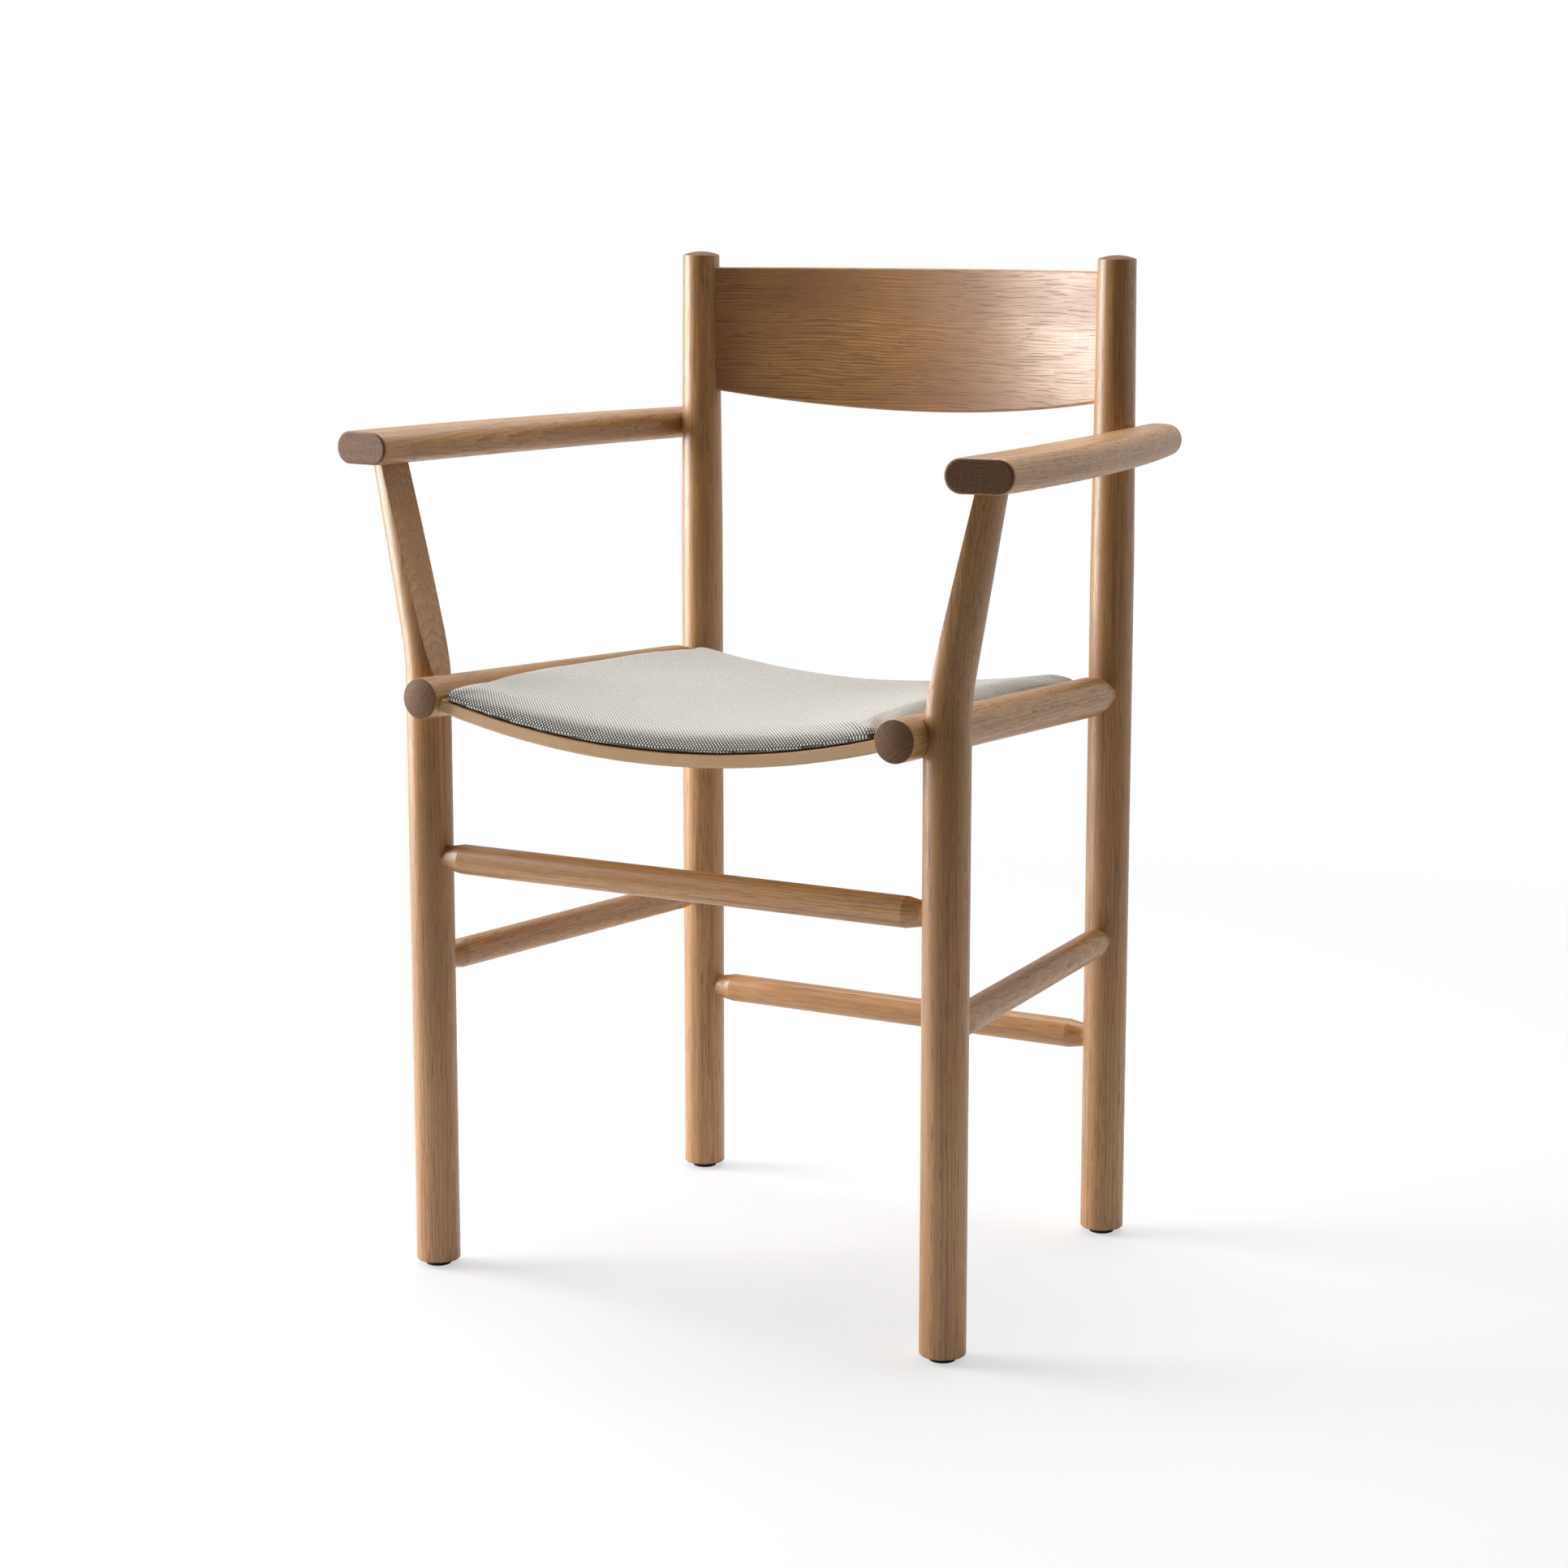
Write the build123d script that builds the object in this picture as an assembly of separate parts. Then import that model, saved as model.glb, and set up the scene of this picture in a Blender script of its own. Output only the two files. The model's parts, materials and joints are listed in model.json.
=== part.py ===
from build123d import *
import math
import os

# Wooden armchair. Millimetres, +Z up, the sitter faces -Y, right is +X.
# The origin is on the floor, under the middle of the chair's box.

# Legs and posts
overall_height = 800.0
front_leg_spacing = 458.0
rear_post_spacing = 387.0
frame_depth = 349.0
leg_diameter = 35.0
foot_chamfer = 1.0

# Upper part of a front leg, which leans out and is cut flat inside
leg_bend_height = 493.0
leg_bend_radius = 220.0
leg_lean_angle = 10.3
support_top_thickness = 15.8
support_flat_angle = 14.6

# Upper part of a rear post
post_taper_height = 560.0
post_top_diameter = 30.8
post_dome_height = 3.0
post_rim_radius = 0.8

# Seat rails, with their axis heights at the front leg and at the rear post
rail_diameter = 32.0
rail_lap = 10.7
rail_nose_reach = 40.7
rail_nose_dome = 2.5
rail_rim_radius = 1.2
rail_front_height = 463.6
rail_rear_height = 450.9
rail_taper_length = 28.0
rail_tenon_diameter = 22.0
rail_tenon_length = 20.0

# Stretchers, with their axis heights
stretcher_diameter = 23.6
stretcher_taper_length = 14.0
stretcher_tenon_diameter = 18.6
stretcher_tenon_length = 22.0
front_stretcher_height = 333.6
side_stretcher_height = 249.3
rear_stretcher_height = 164.5

# Armrests
arm_top_height = 667.0
arm_thickness = 25.5
arm_width = 52.0
arm_side_radius = 12.4
arm_end_ease = 2.5
arm_end_angle = 8.0
arm_front_overhang = 30.3
arm_toe_out = 1.6
arm_rear_overhang = 35.7
arm_rear_width = 35.0
arm_rear_tuck = 8.1
arm_rear_radius = 16.0
arm_outer_bow = 14.3
arm_inner_bow = 5.9

# Bent seat shell
shell_thickness = 10.0
shell_radius = 745.0
shell_groove_depth = 9.0
shell_front_setback = 5.5
shell_rear_gap = 8.0
shell_front_drop = 4.7
shell_rear_drop = 0.0
shell_edge_radius = 1.2

# Bent backrest
backrest_thickness = 9.5
backrest_bow = 46.0
backrest_forward = 4.0
backrest_top_drop = 13.0
backrest_end_height = 102.4
backrest_belly = 16.2
backrest_end_to_axis = 7.0
backrest_edge_radius = 2.0
backrest_stations = 7

# Seat pad
pad_thickness = 20.0
pad_crown = 3.0
pad_end_thickness = 7.0
pad_end_lift = 4.3
pad_side_thickness = 15.0
pad_edge_round = 14.0
pad_corner_radius = 12.0
pad_side_gap = 2.0
pad_draw_in = 2.0
pad_overhang = 2.0
pad_rear_inset = 2.0
pad_edge_stations = (0, 0.12, 0.45, 1.0)
pad_middle_stations = (0.3, 0.5, 0.7)
pad_seat_gap = 0.3
cover_thickness = 1.2
cover_turn_under = 26.0
board_thickness = 5.0
board_inset = 15.0
foam_gap = 0.1

# Fasteners in the pad
screw_diameter = 6.0
screw_head_diameter = 11.0
screw_head_height = 3.0
screw_socket_width = 4.0
screw_socket_depth = 1.8
screw_tip = 2.0
screw_side_offset = 95.0
screw_end_inset = 80.0
tee_nut_flange_diameter = 18.0
tee_nut_flange_thickness = 1.2
tee_nut_barrel_diameter = 9.0
tee_nut_barrel_length = 4.5
staple_crown = 10.0
staple_wire = 0.6
staple_width = 1.2
staple_bite = 3.5
staples_per_side = 8

# Dowels
dowel_chamfer = 0.6
rail_dowel_diameter = 8.0
rail_dowel_length = 24.0
arm_dowel_diameter = 6.0
arm_dowel_length = 32.0
arm_dowel_spacing = 15.0
lap_dowel_diameter = 8.0
lap_dowel_length = 24.0

# Glides
glide_base_diameter = 21.0
glide_base_height = 2.0
glide_felt_diameter = 20.0
glide_felt_height = 2.5
glide_edge = 0.4
nail_diameter = 2.5
nail_length = 16.0
nail_head_diameter = 6.0
nail_head_height = 1.0

# Clearances
joint_gap = 0.1
groove_gap = 0.15

# Worked out from the sizes above
leg_r = leg_diameter / 2
rail_r = rail_diameter / 2
leg_x = front_leg_spacing / 2
post_x = rear_post_spacing / 2
front_reach = rail_nose_reach + rail_nose_dome
rear_reach = backrest_bow - backrest_forward + backrest_thickness / 2
leg_y = front_reach - (front_reach + frame_depth + rear_reach) / 2
post_y = leg_y + frame_depth
foot_z = glide_felt_height + glide_base_height
nail_top = glide_felt_height + nail_length
arm_z = arm_top_height - arm_thickness
bottom_up = (Align.CENTER, Align.CENTER, Align.MIN)
leg_lean = math.tan(math.radians(leg_lean_angle))
support_slope = math.tan(math.radians(support_flat_angle))
leg_top_x = leg_x + leg_lean * (arm_z - leg_bend_height)
support_outer_x = leg_top_x + leg_r / math.cos(math.radians(leg_lean_angle))
support_inner_x = support_outer_x - support_top_thickness
support_x = (support_inner_x + support_outer_x) / 2
rail_leg_x = leg_x - leg_r - rail_r + rail_lap
rail_start = Vector(rail_leg_x, leg_y, rail_front_height)
rail_end = Vector(post_x, post_y, rail_rear_height)
backrest_z = overall_height - backrest_top_drop
backrest_half = post_x - backrest_end_to_axis
backrest_radius = (post_x**2 + backrest_bow**2) / (2 * backrest_bow)
backrest_centre_y = post_y - backrest_forward + backrest_bow - backrest_radius
shell_front_y = leg_y - rail_nose_reach + shell_front_setback
shell_rear_y = post_y - leg_r - shell_rear_gap
pad_front_y = shell_front_y - pad_overhang
pad_rear_y = shell_rear_y - pad_rear_inset
pad_floor = shell_thickness / 2 + pad_seat_gap
board_floor = pad_floor + cover_thickness + foam_gap
board_top = board_floor + board_thickness


# Shared shapes


def along(start, end):
    """Frame at start whose Z points at end."""
    return Plane(origin=start, z_dir=Vector(end) - Vector(start))


def rod(frame, diameter, low, high):
    """Cylinder on a frame's Z axis, from low to high."""
    return frame * Pos(0, 0, low) * Cylinder(diameter / 2, high - low, align=bottom_up)


def turned(*edges):
    """Solid turned about Z from a half profile in the XZ plane."""
    return revolve(make_face(edges), Axis.Z)


def closed_circles(part):
    """Full circular edges of a turned solid."""
    return part.edges().filter_by(GeomType.CIRCLE).filter_by(lambda edge: edge.is_closed)


def other_side(part):
    """The left piece that pairs with a right one."""
    return mirror(part, about=Plane.YZ)


def both_sides(part):
    """The right piece and its left twin."""
    return [part, other_side(part)]


def group(solids):
    """Separate solids in one node."""
    return Compound(children=list(solids))


# Seat geometry


def rail_share(y):
    """Share of the way from the front leg to the rear post."""
    return (y - leg_y) / frame_depth


def rail_x(y):
    """Distance of the right rail's axis from the middle of the chair."""
    return rail_leg_x + (post_x - rail_leg_x) * rail_share(y)


def rail_z(y):
    """Height of a rail's axis."""
    return rail_front_height + (rail_rear_height - rail_front_height) * rail_share(y)


def seat_side(y, inset):
    """Half width of the seat, measured inwards from the rail's inner face."""
    return rail_x(y) - rail_r - inset


def shell_edge_sag(y):
    """Depth of the shell's bend below its edge at the rail."""
    side = seat_side(y, 0)
    return shell_radius - math.sqrt(shell_radius**2 - side**2)


shell_front_mid = rail_z(shell_front_y) - shell_front_drop - shell_edge_sag(shell_front_y)
shell_rear_mid = rail_z(shell_rear_y) - shell_rear_drop - shell_edge_sag(shell_rear_y)
shell_slope = (shell_rear_mid - shell_front_mid) / (shell_rear_y - shell_front_y)
slope_stretch = math.hypot(1, shell_slope)


def seat_axis_z(y):
    """Height of the centre of the shell's bend."""
    return shell_front_mid + shell_slope * (y - shell_front_y) + shell_radius * slope_stretch


def seat_z(x, y, rise):
    """Height of the layer that lies a rise above the shell's middle surface."""
    return seat_axis_z(y) - slope_stretch * math.sqrt((shell_radius - rise) ** 2 - x**2)


def seat_frame(x, y):
    """Frame on the shell's middle surface, with Z along its normal."""
    lean = math.asin(x / shell_radius)
    up = math.cos(lean) / slope_stretch
    normal = (-math.sin(lean), -shell_slope * up, up)
    return Plane(origin=(x, y, seat_z(x, y, 0)), x_dir=(math.cos(lean), 0, math.sin(lean)), z_dir=normal)


def seat_arc(y, rise, half):
    """Arc of a seat layer across the chair."""
    end_z = seat_z(half, y, rise)
    return ThreePointArc((-half, y, end_z), (0, y, seat_z(0, y, rise)), (half, y, end_z))


def bend_arc(rise, half):
    """Arc of a seat layer, square to the axis of the bend, with Y downwards."""
    radius = shell_radius - rise
    drop = math.sqrt(radius**2 - half**2)
    return ThreePointArc((-half, drop), (0, radius), (half, drop))


def seat_band(low, high, start_y, end_y, inset):
    """Bent layer between two rises, cut to the seat's tapering outline."""
    half = seat_side(start_y, inset) + rail_r
    lower = bend_arc(low, half)
    upper = bend_arc(high, half)
    section = make_face([lower, Line(lower @ 1, upper @ 1), upper, Line(upper @ 0, lower @ 0)])
    spare = shell_radius * abs(shell_slope) + leg_diameter
    axis = Plane(origin=(0, start_y, seat_axis_z(start_y)), x_dir=(1, 0, 0), z_dir=(0, 1, shell_slope))
    band = extrude(axis.offset(-spare) * section, amount=(end_y - start_y) * slope_stretch + 2 * spare)
    start_half = seat_side(start_y, inset)
    end_half = seat_side(end_y, inset)
    outline = Polyline(
        (-start_half, start_y),
        (start_half, start_y),
        (end_half, end_y),
        (-end_half, end_y),
        close=True,
    )
    return band & extrude(make_face(outline), amount=overall_height)


# Legs and posts


def leg_blank():
    """Round front leg with its lean and its flat inner cut."""
    reach = arm_z + leg_diameter
    top_x = leg_x + leg_lean * (reach - leg_bend_height)
    path = FilletPolyline(
        (leg_x, leg_y, foot_z),
        (leg_x, leg_y, leg_bend_height),
        (top_x, leg_y, reach),
        radius=leg_bend_radius,
    )
    leg = sweep(Plane(origin=(leg_x, leg_y, foot_z)) * Circle(leg_r), path)
    leg = chamfer(leg.edges().group_by(Axis.Z)[0], foot_chamfer)
    flat = Plane(origin=(support_inner_x, leg_y, arm_z), x_dir=(0, 1, 0), z_dir=(-1, 0, support_slope))
    waste = flat * Box(2 * leg_diameter, 2 * arm_z, 2 * leg_diameter, align=bottom_up)
    clear = 4 * leg_diameter
    above = Pos(leg_top_x, leg_y, arm_z) * Box(clear, clear, clear, align=bottom_up)
    return leg - waste - above


def post_blank(grow):
    """Turned rear post, all its radii larger by grow."""
    low_r = leg_r + grow
    top_r = post_top_diameter / 2 + grow
    rim_z = overall_height - post_dome_height
    apex = (0, 0, overall_height + grow)
    rim = (top_r, 0, rim_z)
    post = turned(
        Polyline(apex, (0, 0, foot_z), (low_r, 0, foot_z), (low_r, 0, post_taper_height), rim),
        TangentArc(apex, rim, tangent=(1, 0, 0)),
    )
    rim_edge = closed_circles(post).group_by(Axis.Z)[-1]
    post = fillet(rim_edge, post_rim_radius)
    post = chamfer(post.edges().group_by(Axis.Z)[0], foot_chamfer)
    return Pos(post_x, post_y, 0) * post


def nail_hole(x, y):
    """Hole for a glide's nail."""
    return rod(Plane(origin=(x, y, 0)), nail_diameter, glide_felt_height, nail_top + joint_gap)


# Round bars


def bar_with_tenons(length):
    """Stretcher along Z between two leg axes, with ends that taper into round tenons."""
    body_r = stretcher_diameter / 2
    tenon_r = stretcher_tenon_diameter / 2
    tip = leg_r - stretcher_tenon_length
    full = leg_r + stretcher_taper_length
    return turned(
        Polyline((0, 0, tip), (tenon_r, 0, tip), (tenon_r, 0, leg_r), (body_r, 0, full)),
        Line((body_r, 0, full), (body_r, 0, length - full)),
        Polyline((body_r, 0, length - full), (tenon_r, 0, length - leg_r), (tenon_r, 0, length - tip)),
        Polyline((tenon_r, 0, length - tip), (0, 0, length - tip), (0, 0, tip)),
    )


def stretcher(start, end):
    """Stretcher between two points on leg axes."""
    return along(start, end) * bar_with_tenons((Vector(end) - Vector(start)).length)


def stretcher_mortise(at, towards):
    """Hole in a leg for a stretcher's tenon."""
    depth = leg_r - stretcher_tenon_length - joint_gap
    return rod(along(at, towards), stretcher_tenon_diameter + 2 * joint_gap, depth, leg_diameter)


def rail_blank():
    """Seat rail along Z, from its domed nose to its rear tenon, starting at the front leg's axis."""
    length = (rail_end - rail_start).length
    tenon_r = rail_tenon_diameter / 2
    nose = -rail_nose_reach
    fall = abs(rail_end.Z - rail_start.Z) / frame_depth
    neck = length - leg_r - joint_gap - tenon_r * fall
    tip = length - leg_r + rail_tenon_length
    apex = (0, 0, nose - rail_nose_dome)
    rim = (rail_r, 0, nose)
    rail = turned(
        TangentArc(apex, rim, tangent=(1, 0, 0)),
        Line(rim, (rail_r, 0, neck - rail_taper_length)),
        TangentArc((rail_r, 0, neck - rail_taper_length), (tenon_r, 0, neck), tangent=(0, 0, 1)),
        Polyline((tenon_r, 0, neck), (tenon_r, 0, tip), (0, 0, tip), apex),
    )
    rim_edge = closed_circles(rail).group_by(Axis.Z)[0]
    return fillet(rim_edge, rail_rim_radius)


# Armrests and backrest


def arm_blank():
    """Armrest with round sides, before its lap is cut."""
    front_y = leg_y - arm_front_overhang
    rear_y = post_y + arm_rear_overhang
    inner_front = support_x + arm_toe_out - arm_width / 2
    outer_front = inner_front + arm_width
    inner_rear = post_x + leg_r - arm_rear_tuck
    outer_rear = inner_rear + arm_rear_width
    mid_y = (front_y + rear_y) / 2
    slant = arm_width / 2 * math.tan(math.radians(arm_end_angle))
    inner_corner = (inner_front, front_y - slant)
    outer_corner = (outer_front, front_y + slant)
    outer_mid = (outer_front + outer_rear) / 2 + arm_outer_bow
    inner_mid = (inner_front + inner_rear) / 2 + arm_inner_bow
    plan = make_face(
        [
            Line(inner_corner, outer_corner),
            ThreePointArc(outer_corner, (outer_mid, mid_y), (outer_rear, rear_y)),
            Line((outer_rear, rear_y), (inner_rear, rear_y)),
            ThreePointArc((inner_rear, rear_y), (inner_mid, mid_y), inner_corner),
        ]
    )
    plan = fillet(plan.vertices().group_by(Axis.Y)[-1], arm_rear_radius)
    arm = Pos(0, 0, arm_z) * extrude(plan, amount=arm_thickness)
    front_edges = arm.faces().sort_by(Axis.Y)[0].edges()
    flat_edges = arm.edges().filter_by(GeomType.LINE).filter_by(Axis.Z)
    sides = [edge for edge in arm.edges() if edge not in front_edges and edge not in flat_edges]
    arm = fillet(sides, arm_side_radius)
    return fillet(arm.faces().sort_by(Axis.Y)[0].edges(), arm_end_ease)


def backrest_section(turn, grow):
    """Section of the backrest with round edges, on a plane through the axis of its bend."""
    x = backrest_radius * math.sin(turn)
    belly_radius = (backrest_half**2 + backrest_belly**2) / (2 * backrest_belly)
    rise = belly_radius - math.sqrt(belly_radius**2 - x**2)
    tall = backrest_end_height + backrest_belly - rise
    outwards = (math.sin(turn), math.cos(turn), 0)
    along_bend = (math.cos(turn), -math.sin(turn), 0)
    frame = Plane(origin=(0, backrest_centre_y, backrest_z), x_dir=outwards, z_dir=along_bend)
    outline = RectangleRounded(backrest_thickness + 2 * grow, tall + 2 * grow, backrest_edge_radius + grow)
    return frame * Pos(backrest_radius, -tall / 2) * outline


def backrest(grow):
    """Bent backrest with a bellied lower edge, larger all round by grow."""
    end = math.asin((backrest_half + grow) / (backrest_radius + backrest_thickness / 2))
    step = 2 * end / (backrest_stations - 1)
    return loft([backrest_section(step * station - end, grow) for station in range(backrest_stations)])


# Seat pad


def pad_section(y, inset):
    """Outline of the pad across the chair, all round smaller by inset."""
    share = (y - pad_front_y) / (pad_rear_y - pad_front_y)
    end = max(min(y - pad_front_y, pad_rear_y - y) - inset, 0)
    corner = max(pad_corner_radius - end, 0)
    corner_cut = pad_corner_radius - math.sqrt(pad_corner_radius**2 - corner**2)
    edge = max(1 - end / pad_edge_round, 0)
    swell = math.sqrt(1 - edge**2)
    thick = pad_end_thickness + (pad_thickness - pad_end_thickness) * swell - 2 * inset
    lift = pad_end_lift * (1 - swell)
    side = seat_side(y, pad_side_gap) - corner_cut - pad_draw_in * math.sin(math.pi * share) - inset
    side_thick = thick * pad_side_thickness / pad_thickness
    low = pad_floor + inset + lift
    turn = side_thick / 2
    shoulder = side - turn
    low_z = seat_z(shoulder, y, low)
    top_z = low_z + side_thick
    mid_z = (low_z + top_z) / 2
    crown_z = seat_z(0, y, low + thick + pad_crown * swell)
    edges = [
        seat_arc(y, low, shoulder),
        ThreePointArc((shoulder, y, low_z), (side, y, mid_z), (shoulder, y, top_z)),
        ThreePointArc((shoulder, y, top_z), (0, y, crown_z), (-shoulder, y, top_z)),
        ThreePointArc((-shoulder, y, top_z), (-side, y, mid_z), (-shoulder, y, low_z)),
    ]
    return make_face(edges)


def pad_body(inset):
    """Crowned pad with thin, drawn-in edges, all round smaller by inset."""
    steps = sorted({pad_edge_round * share for share in pad_edge_stations} | {pad_corner_radius})
    length = pad_rear_y - pad_front_y
    fronts = [pad_front_y + inset + step for step in steps]
    middles = [pad_front_y + length * share for share in pad_middle_stations]
    rears = [pad_rear_y - inset - step for step in reversed(steps)]
    return loft([pad_section(y, inset) for y in fronts + middles + rears], ruled=True)


def screw_places():
    """Points of the pad's screws on the seat."""
    rows = (shell_front_y + screw_end_inset, shell_rear_y - screw_end_inset)
    return [seat_frame(side * screw_side_offset, y) for y in rows for side in (-1, 1)]


def screw(frame):
    """Screw under the shell, with a hexagonal socket in its head."""
    seat = -shell_thickness / 2 - joint_gap
    socket = extrude(RegularPolygon(screw_socket_width / 2, 6, major_radius=False), amount=screw_socket_depth)
    head = rod(Plane.XY, screw_head_diameter, seat - screw_head_height, seat)
    head = fillet(head.edges().group_by(Axis.Z)[0], screw_head_height / 2)
    shank = rod(Plane.XY, screw_diameter, seat, board_top + screw_tip)
    return frame * (head + shank - Pos(0, 0, seat - screw_head_height) * socket)


def tee_nut(frame):
    """Nut in the board, with its flange under the foam."""
    seat = board_top + joint_gap
    flange = rod(Plane.XY, tee_nut_flange_diameter, seat, seat + tee_nut_flange_thickness)
    barrel = rod(Plane.XY, tee_nut_barrel_diameter, seat - tee_nut_barrel_length, seat)
    bore = rod(Plane.XY, screw_diameter + 2 * joint_gap, 0, board_top * 2)
    return frame * (flange + barrel - bore)


def staple_places():
    """Frames on the pad's underside, with X along the cover's turned edge."""
    inset = board_inset + cover_turn_under / 2
    front_y = pad_front_y + inset
    rear_y = pad_rear_y - inset
    frames = []
    for step in range(staples_per_side):
        share = (step + 0.5) / staples_per_side
        for y in (front_y, rear_y):
            half = seat_side(y, pad_side_gap + inset) - staple_crown
            frames.append(seat_frame(half * (2 * share - 1), y))
        y = front_y + staple_crown + (rear_y - front_y - 2 * staple_crown) * share
        for side in (-1, 1):
            frames.append(seat_frame(side * seat_side(y, pad_side_gap + inset), y) * Rot(0, 0, 90))
    return frames


def staple(frame):
    """Wire staple pressed through the turned cover into the board."""
    tall = cover_thickness + staple_bite
    crown = Box(staple_crown, staple_width, staple_wire, align=bottom_up)
    leg = Box(staple_wire, staple_width, tall, align=bottom_up)
    reach = (staple_crown - staple_wire) / 2
    return frame * (Pos(0, 0, pad_floor) * (crown + Pos(-reach, 0, 0) * leg + Pos(reach, 0, 0) * leg))


# Assembly

front_stretcher_ends = [Vector(side * leg_x, leg_y, front_stretcher_height) for side in (1, -1)]
rear_stretcher_ends = [Vector(side * post_x, post_y, rear_stretcher_height) for side in (1, -1)]
side_stretcher_ends = [Vector(x, y, side_stretcher_height) for x, y in ((leg_x, leg_y), (post_x, post_y))]
across = Vector(1, 0, 0)

rail_frame = along(rail_start, rail_end)
rail_cylinder = rod(rail_frame, rail_diameter + 2 * joint_gap, -2 * rail_nose_reach, rail_nose_reach * 2)
rail_tip = rail_end - (rail_end - rail_start).normalized() * (leg_r - rail_tenon_length - joint_gap)
rail_mortise = rod(along(rail_tip, rail_start), rail_tenon_diameter + 2 * joint_gap, 0, leg_diameter)

rail_dowel_frame = along(rail_start + across * rail_r, rail_start + across * leg_diameter)
arm_dowel_tilt = math.radians((leg_lean_angle + support_flat_angle) / 2)
arm_dowel_dir = Vector(math.sin(arm_dowel_tilt), 0, math.cos(arm_dowel_tilt))
arm_dowel_frames = [
    Plane(origin=(support_x, leg_y + side * arm_dowel_spacing / 2, arm_z), z_dir=arm_dowel_dir)
    for side in (-1, 1)
]
lap_height = arm_z + arm_thickness / 2
lap_share = (lap_height - post_taper_height) / (overall_height - post_dome_height - post_taper_height)
lap_radius = leg_r + (post_top_diameter / 2 - leg_r) * lap_share
lap_start = Vector(post_x + lap_radius, post_y, lap_height)
lap_dowel_frame = along(lap_start, lap_start + across)

hole_grow = 2 * joint_gap


def dowel(frame, diameter, low, high):
    """Dowel with small chamfers."""
    return chamfer(rod(frame, diameter, low, high).edges().filter_by(GeomType.CIRCLE), dowel_chamfer)


def dowel_hole(frame, diameter, low, high):
    """Hole for a dowel, with room at both ends."""
    return rod(frame, diameter + hole_grow, low - joint_gap, high + joint_gap)


rail_dowel_size = (rail_dowel_diameter, -rail_dowel_length / 2, rail_dowel_length / 2)
lap_dowel_size = (lap_dowel_diameter, -lap_dowel_length / 2, lap_dowel_length / 2)
arm_dowel_size = (arm_dowel_diameter, -arm_dowel_length / 2, arm_thickness / 2)
rail_dowel_hole = dowel_hole(rail_dowel_frame, *rail_dowel_size)
lap_dowel_hole = dowel_hole(lap_dowel_frame, *lap_dowel_size)
arm_dowel_holes = [dowel_hole(frame, *arm_dowel_size) for frame in arm_dowel_frames]

front_leg = leg_blank() - rail_cylinder - rail_dowel_hole - nail_hole(leg_x, leg_y)
front_leg -= stretcher_mortise(*front_stretcher_ends)
front_leg -= stretcher_mortise(*side_stretcher_ends)
for hole in arm_dowel_holes:
    front_leg -= hole

rear_post = post_blank(0) - backrest(groove_gap)
rear_post -= rail_mortise
rear_post -= lap_dowel_hole
rear_post -= nail_hole(post_x, post_y)
rear_post -= stretcher_mortise(*rear_stretcher_ends)
rear_post -= stretcher_mortise(*reversed(side_stretcher_ends))

shell_groove = seat_band(
    -shell_thickness / 2 - groove_gap,
    shell_thickness / 2 + groove_gap,
    shell_front_y - groove_gap,
    shell_rear_y + groove_gap,
    -shell_groove_depth - groove_gap,
)
seat_rail = rail_frame * rail_blank() - shell_groove - rail_dowel_hole

armrest = arm_blank() - post_blank(joint_gap) - lap_dowel_hole
for hole in arm_dowel_holes:
    armrest -= hole

shell = seat_band(-shell_thickness / 2, shell_thickness / 2, shell_front_y, shell_rear_y, -shell_groove_depth)
side_edges = shell.edges().filter_by(GeomType.LINE)
shell = fillet(shell.edges() - side_edges, shell_edge_radius)
for frame in screw_places():
    shell -= rod(frame, screw_diameter + hole_grow, -shell_thickness, shell_thickness)

staples = [staple(frame) for frame in staple_places()]
board_side = pad_side_gap + board_inset
board = seat_band(board_floor, board_top, pad_front_y + board_inset, pad_rear_y - board_inset, board_side)
board_room = seat_band(
    board_floor - foam_gap - cover_thickness,
    board_top + foam_gap,
    pad_front_y + board_inset - foam_gap,
    pad_rear_y - board_inset + foam_gap,
    board_side - foam_gap,
)
open_inset = board_inset + cover_turn_under
opening = seat_band(
    pad_floor - cover_thickness,
    board_floor + cover_thickness,
    pad_front_y + open_inset,
    pad_rear_y - open_inset,
    pad_side_gap + open_inset,
)
cover = pad_body(0) - pad_body(cover_thickness) - opening
foam = pad_body(cover_thickness + foam_gap) - board_room
for frame in screw_places():
    board -= rod(frame, tee_nut_barrel_diameter + hole_grow, pad_floor, board_top * 2)
    nut_top = board_top + tee_nut_flange_thickness + hole_grow
    foam -= rod(frame, tee_nut_flange_diameter + hole_grow, board_floor, nut_top)
    foam -= rod(frame, screw_diameter + hole_grow, board_floor, board_top + screw_tip + joint_gap)
for piece in staples:
    cover -= piece
    board -= piece

feet = [(side * x, y) for x, y in ((leg_x, leg_y), (post_x, post_y)) for side in (-1, 1)]


def glide_base(x, y):
    """Plastic disc under a leg, with a sunk hole for its nail."""
    frame = Plane(origin=(x, y, glide_felt_height))
    disc = rod(frame, glide_base_diameter, 0, glide_base_height)
    disc = chamfer(disc.edges().group_by(Axis.Z)[0], glide_edge)
    disc -= rod(frame, nail_head_diameter + hole_grow, 0, nail_head_height + joint_gap)
    return disc - rod(frame, nail_diameter + hole_grow, 0, glide_base_height)


def glide_felt(x, y):
    """Felt disc that meets the floor."""
    felt = rod(Plane(origin=(x, y, 0)), glide_felt_diameter, 0, glide_felt_height)
    return chamfer(felt.edges().group_by(Axis.Z)[0], glide_edge)


def glide_nail(x, y):
    """Nail through the glide's base into the leg."""
    frame = Plane(origin=(x, y, glide_felt_height))
    head = rod(frame, nail_head_diameter, 0, nail_head_height)
    return head + rod(frame, nail_diameter - hole_grow, 0, nail_length)


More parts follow.
